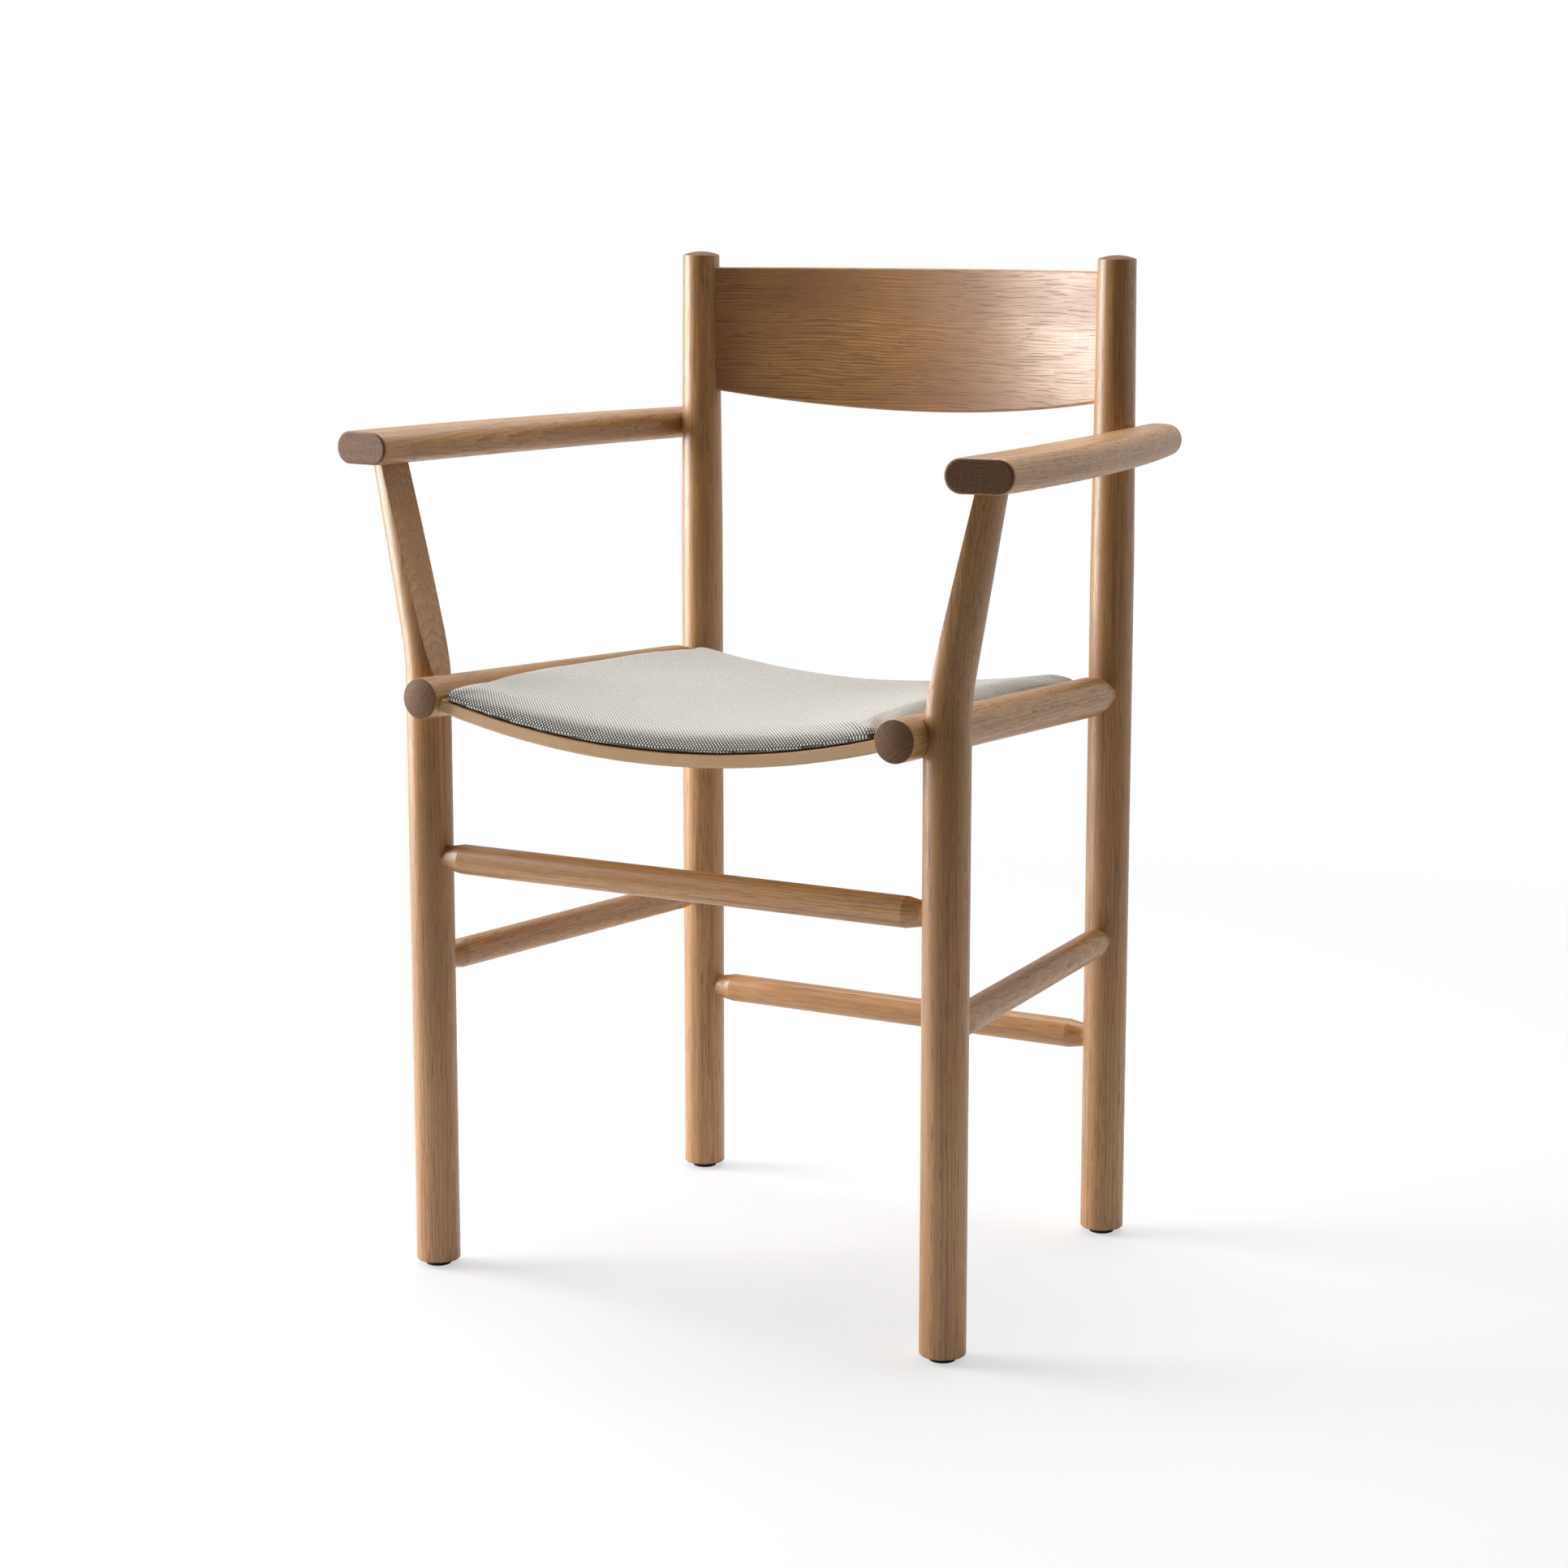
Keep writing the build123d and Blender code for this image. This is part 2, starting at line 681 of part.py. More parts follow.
side_stretcher = stretcher(*side_stretcher_ends)
rail_dowel = dowel(rail_dowel_frame, *rail_dowel_size)
lap_dowel = dowel(lap_dowel_frame, *lap_dowel_size)
arm_dowels = [dowel(frame, *arm_dowel_size) for frame in arm_dowel_frames]

pieces = {
    "front_leg_right": front_leg,
    "front_leg_left": other_side(front_leg),
    "rear_post_right": rear_post,
    "rear_post_left": other_side(rear_post),
    "seat_rail_right": seat_rail,
    "seat_rail_left": other_side(seat_rail),
    "armrest_right": armrest,
    "armrest_left": other_side(armrest),
    "front_stretcher": stretcher(*front_stretcher_ends),
    "rear_stretcher": stretcher(*rear_stretcher_ends),
    "side_stretcher_right": side_stretcher,
    "side_stretcher_left": other_side(side_stretcher),
    "seat_shell": shell,
    "backrest_panel": backrest(0),
    "pad_board": board,
    "pad_foam": foam,
    "pad_cover": cover,
    "pad_staples": group(staples),
    "pad_screws": group(screw(frame) for frame in screw_places()),
    "pad_tee_nuts": group(tee_nut(frame) for frame in screw_places()),
    "rail_lap_dowels": group(both_sides(rail_dowel)),
    "arm_front_dowels": group(arm_dowels + [other_side(part) for part in arm_dowels]),
    "arm_rear_dowels": group(both_sides(lap_dowel)),
    "glide_bases": group(glide_base(x, y) for x, y in feet),
    "glide_felts": group(glide_felt(x, y) for x, y in feet),
    "glide_nails": group(glide_nail(x, y) for x, y in feet),
}

os.makedirs("parts", exist_ok=True)
for name, piece in pieces.items():
    export_step(piece, f"parts/{name}.step")
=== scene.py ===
"""Looks of a light oak armchair with a woven seat pad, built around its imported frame."""

import json
import logging
import math
from dataclasses import dataclass
from enum import Enum

import bpy
import numpy as np
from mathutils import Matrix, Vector

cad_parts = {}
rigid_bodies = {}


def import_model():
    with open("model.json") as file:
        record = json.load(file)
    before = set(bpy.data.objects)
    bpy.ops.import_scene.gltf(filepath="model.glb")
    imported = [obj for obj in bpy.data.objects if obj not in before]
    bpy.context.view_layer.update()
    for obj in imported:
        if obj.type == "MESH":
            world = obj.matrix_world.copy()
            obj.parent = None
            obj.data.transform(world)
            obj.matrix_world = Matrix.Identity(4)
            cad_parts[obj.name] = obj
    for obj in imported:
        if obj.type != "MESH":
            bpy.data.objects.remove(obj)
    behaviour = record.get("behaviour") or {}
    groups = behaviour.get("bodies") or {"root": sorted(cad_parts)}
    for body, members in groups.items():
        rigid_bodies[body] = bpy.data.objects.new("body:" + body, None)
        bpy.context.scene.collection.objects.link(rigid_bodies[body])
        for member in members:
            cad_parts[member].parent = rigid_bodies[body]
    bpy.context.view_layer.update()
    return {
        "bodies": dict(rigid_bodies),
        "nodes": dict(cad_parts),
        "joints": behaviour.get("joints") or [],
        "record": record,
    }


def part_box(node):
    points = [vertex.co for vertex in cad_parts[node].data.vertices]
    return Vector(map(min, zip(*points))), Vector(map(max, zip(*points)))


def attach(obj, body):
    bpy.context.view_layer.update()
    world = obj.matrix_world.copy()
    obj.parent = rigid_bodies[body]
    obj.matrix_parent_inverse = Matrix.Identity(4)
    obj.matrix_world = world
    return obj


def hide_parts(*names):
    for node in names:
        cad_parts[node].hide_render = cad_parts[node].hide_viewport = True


LOG = logging.getLogger("armchair")
ROOT = "root"
MM = 0.001
TINY = 1e-6
MIX_COLOURS = slice(6, 8)
MIX_RESULT = 2

Triple = tuple[float, float, float]
Pair = tuple[float, float]
Socket = bpy.types.NodeSocket
Value = Socket | float


class Grain(Enum):
    """Axis of the chair that a piece's grain runs along."""

    ACROSS = 0
    DEEP = 1
    UPRIGHT = 2

    @property
    def others(self) -> list[int]:
        """The two axes across the grain."""
        return [axis for axis in range(3) if axis != self.value]


class Bend(Enum):
    """Way that a plywood panel is bent."""

    UPRIGHT_AXIS = "backrest"
    LEVEL_AXIS = "seat"


class TreeSketch:
    """A node tree, with short calls for what materials, the world and Geometry Nodes share."""

    def __init__(self, tree: bpy.types.NodeTree) -> None:
        """Starts to draw in a tree.

        Args:
            tree: Tree that gets the nodes.
        """
        self.tree = tree

    def feed(self, socket: Socket, value: object) -> None:
        """Links a socket to another, or sets it to a constant.

        Args:
            socket: Input that is fed.
            value: Another socket or a constant.
        """
        if isinstance(value, bpy.types.NodeSocket):
            self.tree.links.new(value, socket)
        else:
            socket.default_value = value

    def node(self, kind: str, *values: object, **named: object) -> bpy.types.Node:
        """Adds a node and feeds its inputs.

        Args:
            kind: Blender's name of the node type.
            values: Sockets or constants for its first inputs.
            named: Sockets or constants by input name, with _ for a space.

        Returns:
            The node.
        """
        node = self.tree.nodes.new(kind)
        for socket, value in zip(node.inputs, values):
            self.feed(socket, value)
        for label, value in named.items():
            self.feed(node.inputs[label.replace("_", " ")], value)
        return node

    def math(self, operation: str, *values: Value) -> Socket:
        """Adds a Math node.

        Args:
            operation: Blender's name of the operation.
            values: Its operands, sockets or numbers.

        Returns:
            The result's socket.
        """
        node = self.node("ShaderNodeMath")
        node.operation = operation
        for socket, value in zip(node.inputs, values):
            self.feed(socket, value)
        return node.outputs[0]

    def plus(self, first: Value, second: Value) -> Socket:
        """Adds two values."""
        return self.math("ADD", first, second)

    def minus(self, first: Value, second: Value) -> Socket:
        """Takes the second value from the first."""
        return self.math("SUBTRACT", first, second)

    def times(self, first: Value, second: Value) -> Socket:
        """Multiplies two values."""
        return self.math("MULTIPLY", first, second)

    def fused(self, first: Value, second: Value, added: Value) -> Socket:
        """Multiplies two values and adds a third."""
        return self.math("MULTIPLY_ADD", first, second, added)

    def length(self, first: Value, second: Value) -> Socket:
        """Gives the length of a vector with two parts."""
        return self.math("SQRT", self.fused(first, first, self.times(second, second)))

    def ramp(self, value: Value, span: tuple[Value, Value], ends: Pair = (0.0, 1.0)) -> Socket:
        """Maps a value smoothly from one range to another.

        Args:
            value: What is mapped.
            span: The two values that give the ends.
            ends: Results there.

        Returns:
            The mapped value's socket.
        """
        limits = {"From_Min": span[0], "From_Max": span[1], "To_Min": ends[0], "To_Max": ends[1]}
        node = self.node("ShaderNodeMapRange", Value=value, **limits)
        node.interpolation_type = "SMOOTHSTEP"
        return node.outputs[0]

    def join(self, *values: Value) -> Socket:
        """Joins three numbers to a vector."""
        return self.node("ShaderNodeCombineXYZ", *values).outputs[0]

    def split(self, vector: Socket) -> list[Socket]:
        """Splits a vector into its three numbers."""
        return list(self.node("ShaderNodeSeparateXYZ", vector).outputs)


class ShaderSketch(TreeSketch):
    """A material with a principled surface, and the nodes that the finishes share."""

    def __init__(self, name: str) -> None:
        """Starts a material.

        Args:
            name: Name of the material.
        """
        self.material = bpy.data.materials.new(name)
        self.material.use_nodes = True
        super().__init__(self.material.node_tree)
        self.tree.nodes.clear()
        self.surface = self.node("ShaderNodeBsdfPrincipled")
        self.output = self.node("ShaderNodeOutputMaterial", Surface=self.surface.outputs["BSDF"])

    def paint(self, **named: object) -> None:
        """Feeds inputs of the surface.

        Args:
            named: Sockets or constants by input name, with _ for a space.
        """
        for label, value in named.items():
            self.feed(self.surface.inputs[label.replace("_", " ")], value)

    def mix(self, share: Value, first: object, second: object, blend: str = "MIX") -> Socket:
        """Mixes two colours.

        Args:
            share: Share of the second colour.
            first: A colour or its socket.
            second: Another colour or its socket.
            blend: Blender's name of the blend type.

        Returns:
            The mixed colour's socket.
        """
        node = self.node("ShaderNodeMix")
        node.data_type = "RGBA"
        node.blend_type = blend
        self.feed(node.inputs[0], share)
        for socket, colour in zip(node.inputs[MIX_COLOURS], (first, second)):
            self.feed(socket, colour if isinstance(colour, bpy.types.NodeSocket) else (*colour, 1.0))
        return node.outputs[MIX_RESULT]

    def tinted(self, colour: object, tint: object) -> Socket:
        """Multiplies two colours."""
        return self.mix(1.0, colour, tint, "MULTIPLY")

    def grey(self, value: Value) -> Socket:
        """Makes a grey colour of a value."""
        return self.node("ShaderNodeCombineColor", value, value, value).outputs[0]

    def dot(self, first: object, second: object) -> Socket:
        """Multiplies two vectors to one number.

        Args:
            first: A vector or its socket.
            second: Another vector or its socket.

        Returns:
            The dot product's socket.
        """
        node = self.node("ShaderNodeVectorMath", first, second)
        node.operation = "DOT_PRODUCT"
        return node.outputs["Value"]

    def place(self) -> list[Socket]:
        """Gives the object coordinates, in metres of the chair's frame."""
        return self.split(self.node("ShaderNodeTexCoord").outputs["Object"])

    def normal(self) -> Socket:
        """Gives the surface's normal."""
        return self.node("ShaderNodeNewGeometry").outputs["Normal"]

    def noise(self, vector: Socket, detail: float = 2.0, rough: float = 0.5) -> Socket:
        """Adds noise of unit size.

        Args:
            vector: Coordinates in noise sizes.
            detail: Octaves.
            rough: Share of each finer octave.

        Returns:
            The noise's socket, about 0 to 1.
        """
        sizes = {"Scale": 1.0, "Detail": detail, "Roughness": rough}
        return self.node("ShaderNodeTexNoise", Vector=vector, **sizes).outputs[0]

    def stretched(self, place: list[Socket], rates: Triple, shift: float = 0.0) -> Socket:
        """Scales each coordinate by its own rate.

        Args:
            place: Three coordinates.
            rates: Noise sizes per metre along each.
            shift: Added to the first one, so that pieces differ.

        Returns:
            The scaled vector.
        """
        first, *rest = [self.times(axis, rate) for axis, rate in zip(place, rates)]
        return self.join(self.plus(first, shift), *rest)

    def bump(self, height: Socket, distance: float, strength: float) -> None:
        """Gives the surface a relief.

        Args:
            height: Relief, about 0 to 1.
            distance: Depth of the relief in metres.
            strength: Share of it that shows.
        """
        node = self.node("ShaderNodeBump", Height=height, Distance=distance, Strength=strength)
        self.paint(Normal=node.outputs[0])


@dataclass(frozen=True)
class OakFinish:
    """Oiled oak, cut from a tree whose heart lies beside the piece.

    Rates are noise sizes per metre, spans are noise levels, and shifts tell noises of one piece apart.
    """

    pale: Triple = (0.515, 0.276, 0.1)
    warm: Triple = (0.38, 0.182, 0.06)
    pore: Triple = (0.13, 0.052, 0.019)
    fleck: Triple = (0.58, 0.345, 0.17)
    ring_width: float = 2.6 * MM
    year_rate: float = 90.0
    year_spread: float = 2.2
    early_share: float = 0.42
    late_span: Pair = (0.1, 1.0)
    sway: float = 5.0 * MM
    sway_rate: float = 1.7
    side_rate: float = 9.0
    drift_share: float = 1.35
    drift_shift: float = 31.0
    tone_rates: Triple = (38.0, 38.0, 3.0)
    tone_span: Pair = (0.34, 0.68)
    tone_shift: float = 7.0
    ray_rates: Triple = (150.0, 70.0, 120.0)
    ray_span: Pair = (0.65, 0.7)
    fleck_share: float = 0.2
    pore_rates: Triple = (1400.0, 1400.0, 50.0)
    pore_level: float = 0.52
    pore_width: float = 0.12
    pore_depth: float = 0.85
    late_pores: float = 0.3
    streak_rates: Triple = (420.0, 420.0, 5.0)
    streak_span: Pair = (0.53, 0.72)
    streak_shift: float = 3.0
    streaks: float = 0.45
    end_span: Pair = (0.5, 0.85)
    end_tint: Triple = (0.34, 0.235, 0.05)
    end_rough: float = 0.35
    end_rings: float = 0.65
    end_rays: float = 0.75
    spoke_rate: float = 15.0
    spoke_span: Pair = (0.56, 0.66)
    shine: float = 0.8
    roughness: float = 0.37
    patchy: float = 0.0
    pore_rough: float = 0.2
    fleck_rough: float = -0.06
    relief: float = 0.12 * MM
    relief_share: float = 0.35

    def timber(
        self, sketch: ShaderSketch, place: list[Socket], heart: Pair, seed: float, end: Value = 0.0
    ) -> Socket:
        """Paints rings, pores and rays on coordinates whose third runs along the grain.

        Args:
            sketch: Material that is painted.
            place: Two coordinates across the grain and one along it.
            heart: Place of the tree's heart across the grain.
            seed: Shifts the pattern from piece to piece.
            end: Share of end grain.

        Returns:
            The wood's colour.
        """
        # Trunk that sways along the grain
        side = self.side_rate
        swing_rates = (side, side, self.sway_rate)
        drift_rates = (side, side, self.drift_share * self.sway_rate)
        swing = sketch.noise(sketch.stretched(place, swing_rates, seed))
        drift = sketch.noise(sketch.stretched(place, drift_rates, seed + self.drift_shift))
        first = sketch.fused(swing, 2 * self.sway, place[0])
        second = sketch.fused(drift, 2 * self.sway, place[1])
        swayed = [first, second, place[2]]
        out_a = sketch.minus(first, heart[0])
        out_b = sketch.minus(second, heart[1])
        radius = sketch.length(out_a, out_b)
        # Year rings of uneven width, and their pale and warm wood
        years = sketch.noise(sketch.join(sketch.times(radius, self.year_rate), seed, 0.0), detail=1.0)
        count = sketch.fused(years, self.year_spread, sketch.math("DIVIDE", radius, self.ring_width))
        ring = sketch.math("FRACT", count)
        early = sketch.ramp(ring, (self.early_share, 0.0))
        cloud = sketch.noise(sketch.stretched(place, self.tone_rates, seed + self.tone_shift), detail=3.0)
        tone = sketch.ramp(cloud, self.tone_span)
        colour = sketch.mix(sketch.ramp(ring, self.late_span), self.pale, self.warm)
        colour = sketch.mix(tone, colour, self.warm)
        # Rays: flecks along the grain, and spokes across the rings on end grain
        turn_rate, out_rate, long_rate = self.ray_rates
        turn = sketch.fused(sketch.math("ARCTAN2", out_b, out_a), turn_rate, seed)
        long = sketch.times(place[2], long_rate)
        rays = sketch.noise(sketch.join(turn, sketch.times(radius, out_rate), long), detail=1.0)
        flecks = sketch.ramp(rays, self.ray_span)
        colour = sketch.mix(sketch.times(flecks, self.fleck_share), colour, self.fleck)
        bands = sketch.times(early, sketch.times(end, self.end_rings))
        colour = sketch.mix(bands, colour, self.pore)
        spokes = sketch.noise(sketch.join(turn, sketch.times(radius, self.spoke_rate), 0.0), detail=1.0)
        lines = sketch.times(sketch.ramp(spokes, self.spoke_span), sketch.times(end, self.end_rays))
        colour = sketch.mix(lines, colour, self.fleck)
        # Pores of the early wood, and darker streaks
        fine = sketch.noise(sketch.stretched(swayed, self.pore_rates, seed), detail=1.0)
        dots = sketch.ramp(fine, (self.pore_level, self.pore_level + self.pore_width))
        pores = sketch.times(dots, sketch.fused(early, 1 - self.late_pores, self.late_pores))
        colour = sketch.mix(sketch.times(pores, self.pore_depth), colour, self.pore)
        streak = sketch.noise(sketch.stretched(swayed, self.streak_rates, seed + self.streak_shift))
        colour = sketch.mix(sketch.ramp(streak, self.streak_span, (0.0, self.streaks)), colour, self.pore)
        # Oiled gloss and open pores
        rough = sketch.fused(pores, self.pore_rough, self.roughness)
        rough = sketch.fused(flecks, self.fleck_rough, rough)
        rough = sketch.fused(tone, self.patchy, rough)
        rough = sketch.fused(end, self.end_rough, rough)
        sketch.paint(Specular_IOR_Level=self.shine, Roughness=rough)
        sketch.bump(sketch.minus(1.0, pores), self.relief, self.relief_share)
        return colour

    def solid(self, name: str, grain: Grain, heart: Pair, seed: float, shade: float) -> bpy.types.Material:
        """Makes the wood of one solid piece.

        Args:
            name: Name of the material.
            grain: Axis that the grain follows.
            heart: Place of the tree's heart on the two other axes.
            seed: Shifts the pattern from piece to piece.
            shade: Brightness of this piece among the others.

        Returns:
            The material.
        """
        sketch = ShaderSketch(name)
        place = sketch.place()
        ordered = [place[axis] for axis in (*grain.others, grain.value)]
        way = [float(axis == grain.value) for axis in range(3)]
        end = sketch.ramp(sketch.math("ABSOLUTE", sketch.dot(sketch.normal(), way)), self.end_span)
        colour = self.timber(sketch, ordered, heart, seed, end)
        light = sketch.mix(end, (shade,) * 3, self.end_tint)
        sketch.paint(Base_Color=sketch.tinted(colour, light))
        return sketch.material


@dataclass(frozen=True)
class PlyFinish:
    """Oak veneer on a bent panel whose plies show at its edges."""

    veneer: OakFinish
    ply: float = 1.25 * MM
    edge_pale: Triple = (0.56, 0.36, 0.19)
    edge_warm: Triple = (0.43, 0.25, 0.115)
    heart: Pair = (0.09, -0.16)
    fibre_rates: Pair = (1500.0, 24.0)
    ply_share: float = 0.2
    edge_span: Pair = (0.75, 0.45)

    def panel(
        self, name: str, bend: Bend, radius: float, axis: Triple, seed: float, shade: float
    ) -> bpy.types.Material:
        """Makes the material of one bent panel.

        Args:
            name: Name of the material.
            bend: Way that the panel is bent.
            radius: Radius of the bend.
            axis: Place of the bend's axis across it, where the axis is at zero, and its slope.
            seed: Shifts the pattern.
            shade: Brightness of the panel.

        Returns:
            The material.
        """
        sketch = ShaderSketch(name)
        x, y, z = sketch.place()
        at, zero, slope = axis
        level = bend is Bend.LEVEL_AXIS
        run, out = (y, z) if level else (z, y)
        away = sketch.minus(out, sketch.fused(sketch.minus(run, zero), slope, at))
        reach = sketch.length(x, away)
        depth = sketch.minus(reach, radius)
        along = sketch.times(sketch.math("ARCTAN2", x, sketch.math("ABSOLUTE", away)), radius)
        colour = self.veneer.timber(sketch, [depth, run, along], self.heart, seed)
        layer = sketch.math("FLOOR", sketch.math("DIVIDE", depth, self.ply))
        odd = sketch.math("FLOORED_MODULO", layer, 2.0)
        deep_rate, long_rate = self.fibre_rates
        strands = sketch.join(sketch.times(depth, deep_rate), run, sketch.times(along, long_rate))
        fibre = sketch.noise(strands)
        tone = sketch.fused(odd, self.ply_share, sketch.times(fibre, 1 - self.ply_share))
        edge = sketch.mix(tone, self.edge_pale, self.edge_warm)
        radial = sketch.join(x, 0.0, away) if level else sketch.join(x, away, 0.0)
        facing = sketch.math("ABSOLUTE", sketch.math("DIVIDE", sketch.dot(sketch.normal(), radial), reach))
        colour = sketch.mix(sketch.ramp(facing, self.edge_span), colour, edge)
        sketch.paint(Base_Color=sketch.tinted(colour, (shade,) * 3))
        return sketch.material


@dataclass(frozen=True)
class WeaveFinish:
    """Plain weave of a light warp and a grey weft, with painted shade on the faces that turn away from
    upward.
    """

    yarn: float = 1.4 * MM
    warp: Triple = (0.93, 0.905, 0.845)
    weft: Triple = (0.36, 0.345, 0.305)
    # Weft on faces that turn away from upward, darkened as painted shade
    shaded_weft: Triple = (0.1, 0.093, 0.079)
    gap: Triple = (0.06, 0.054, 0.045)
    gap_share: float = 0.3
    # Gaps open further there: partly the weave drawn open round the edge, partly painted shade
    drawn_and_shaded_gap: float = 0.4
    wander: float = 0.5
    wander_rates: Triple = (45.0, 45.0, 0.0)
    fuzz_rates: Triple = (3800.0, 3800.0, 0.0)
    batch_rates: Triple = (650.0, 70.0, 0.0)
    mottle: float = 0.16
    roughness: float = 0.9
    shine: float = 0.2
    sheen: float = 0.12
    sheen_rough: float = 0.5
    over_rise: float = 0.3
    fuzz_rise: float = 0.12
    relief: float = 0.45 * MM
    relief_share: float = 0.8

    def material(self, name: str, attribute: str) -> bpy.types.Material:
        """Makes the cloth.

        Args:
            name: Name of the material.
            attribute: Vertex attribute with the place on the cloth in metres and the share of painted
                shade where the surface turns from upward, where the weave is also drawn open.

        Returns:
            The material.
        """
        sketch = ShaderSketch(name)
        node = sketch.node("ShaderNodeAttribute")
        node.attribute_name = attribute
        across, along, drawn_and_shaded = sketch.split(node.outputs["Vector"])
        place = [across, along, along]
        drift = sketch.noise(sketch.stretched(place, self.wander_rates), detail=1.0)
        wander = sketch.times(drift, self.wander)
        cells = [sketch.plus(wander, sketch.math("DIVIDE", axis, self.yarn)) for axis in (across, along)]
        total = sketch.plus(*[sketch.math("FLOOR", cell) for cell in cells])
        over = sketch.math("FLOORED_MODULO", total, 2.0)
        rounds = []
        for cell in cells:
            off = sketch.fused(sketch.math("FRACT", cell), 2.0, -1.0)
            rounds.append(sketch.minus(1.0, sketch.times(off, off)))
        dome = sketch.times(*rounds)
        fuzz = sketch.noise(sketch.stretched(place, self.fuzz_rates))
        batch = sketch.noise(sketch.stretched(place, self.batch_rates))
        # Faces that turn away from upward get the darker weft and more open gaps: painted shade, and
        # partly the weave drawn open round the edge
        colour = sketch.mix(over, sketch.mix(drawn_and_shaded, self.weft, self.shaded_weft), self.warp)
        open_from = sketch.fused(drawn_and_shaded, self.drawn_and_shaded_gap, self.gap_share)
        colour = sketch.mix(sketch.ramp(dome, (open_from, 0.0)), colour, self.gap)
        light = sketch.fused(fuzz, self.mottle, sketch.fused(batch, self.mottle, 1 - self.mottle))
        sketch.paint(
            Base_Color=sketch.tinted(colour, sketch.grey(light)),
            Roughness=self.roughness,
            Specular_IOR_Level=self.shine,
            Sheen_Weight=self.sheen,
            Sheen_Roughness=self.sheen_rough,
        )
        raised = sketch.fused(over, self.over_rise, sketch.times(dome, 1 - self.over_rise))
        sketch.bump(sketch.fused(fuzz, self.fuzz_rise, raised), self.relief, self.relief_share)
        return sketch.material


@dataclass(frozen=True)
class PlainFinish:
    """Metal, plastic or felt with a fine mottle."""

    dark: Triple
    light: Triple
    metallic: float
    roughness: float
    grains: float
    relief: float
    relief_share: float = 0.5
    mottle_span: Pair = (0.3, 0.7)
    mottle_rough: float = 0.15
    octaves: float = 3.0
    octave_share: float = 0.6

    def material(self, name: str) -> bpy.types.Material:
        """Makes the material.

        Args:
            name: Name of the material.

        Returns:
            The material.
        """
        sketch = ShaderSketch(name)
        place = sketch.stretched(sketch.place(), (self.grains,) * 3)
        mottle = sketch.noise(place, self.octaves, self.octave_share)
        colour = sketch.mix(sketch.ramp(mottle, self.mottle_span), self.dark, self.light)
        rough = sketch.fused(mottle, self.mottle_rough, self.roughness)
        sketch.paint(Base_Color=colour, Metallic=self.metallic, Roughness=rough)
        sketch.bump(mottle, self.relief, self.relief_share)
        return sketch.material


OAK = OakFinish()
VENEER = OakFinish(
    warm=(0.31, 0.135, 0.042),
    sway=7.0 * MM,
    sway_rate=6.0,
    tone_rates=(8.0, 16.0, 7.0),
    fleck_share=0.0,
    pore_rates=(900.0, 850.0, 28.0),
    pore_level=0.53,
    pore_width=0.07,
    streaks=0.2,
    roughness=0.32,
    patchy=0.14,
)
BEECH = OakFinish(
    pale=(0.62, 0.42, 0.26), warm=(0.55, 0.35, 0.2), pore=(0.4, 0.22, 0.12), end_tint=(0.8, 0.8, 0.8)
)
BIRCH = OakFinish(pale=(0.66, 0.5, 0.32), warm=(0.58, 0.42, 0.26), pore=(0.45, 0.3, 0.18))
STEEL = PlainFinish(
    dark=(0.42, 0.42, 0.41),
    light=(0.6, 0.6, 0.58),
    metallic=1.0,
    roughness=0.28,
    grains=500.0,
    relief=0.02 * MM,
)
GLIDE_PLASTIC = PlainFinish(
    dark=(0.2, 0.2, 0.2),
    light=(0.27, 0.27, 0.27),
    metallic=0.0,
    roughness=0.45,
    grains=900.0,
    relief=0.03 * MM,
)
FELT = PlainFinish(
    dark=(0.012, 0.012, 0.012),
    light=(0.035, 0.033, 0.03),
    metallic=0.0,
    roughness=0.9,
    grains=2600.0,
    relief=0.2 * MM,
)


def dress(node: bpy.types.Object, material: bpy.types.Material) -> None:
    """Gives a node of the frame its finish.

    Args:
        node: Object of the frame.
        material: Its finish.
    """
    node.data.materials.clear()
    node.data.materials.append(material)
    LOG.info("%s wears %s", node.name, material.name)


def settle(piece: bpy.types.Object, slot: str, *nodes: str) -> None:
    """Fixes a finished piece to the chair.

    Args:
        piece: The piece.
        slot: Slot of the record that its finish belongs to; not used.
        nodes: Nodes of the frame that it stands for.
    """
    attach(piece, ROOT)
    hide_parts(*nodes)
    LOG.info("%s stands for %s, %d faces", piece.name, ", ".join(nodes), len(piece.data.polygons))


def linked_object(name: str, mesh: bpy.types.Mesh) -> bpy.types.Object:
    """Makes an object of a mesh and puts it in the scene.

    Args:
        name: Name of the object.
        mesh: Its mesh.

    Returns:
        The object.
    """
    piece = bpy.data.objects.new(name, mesh)
    bpy.context.scene.collection.objects.link(piece)
    return piece


def modified_mesh(piece: bpy.types.Object) -> bpy.types.Mesh:
    """Gives a new mesh of a piece with its modifiers applied."""
    graph = bpy.context.evaluated_depsgraph_get()
    return bpy.data.meshes.new_from_object(piece.evaluated_get(graph))


def mesh_points(mesh: bpy.types.Mesh) -> np.ndarray:
    """Gives a mesh's points, one row each."""
    return np.array([vertex.co for vertex in mesh.vertices])


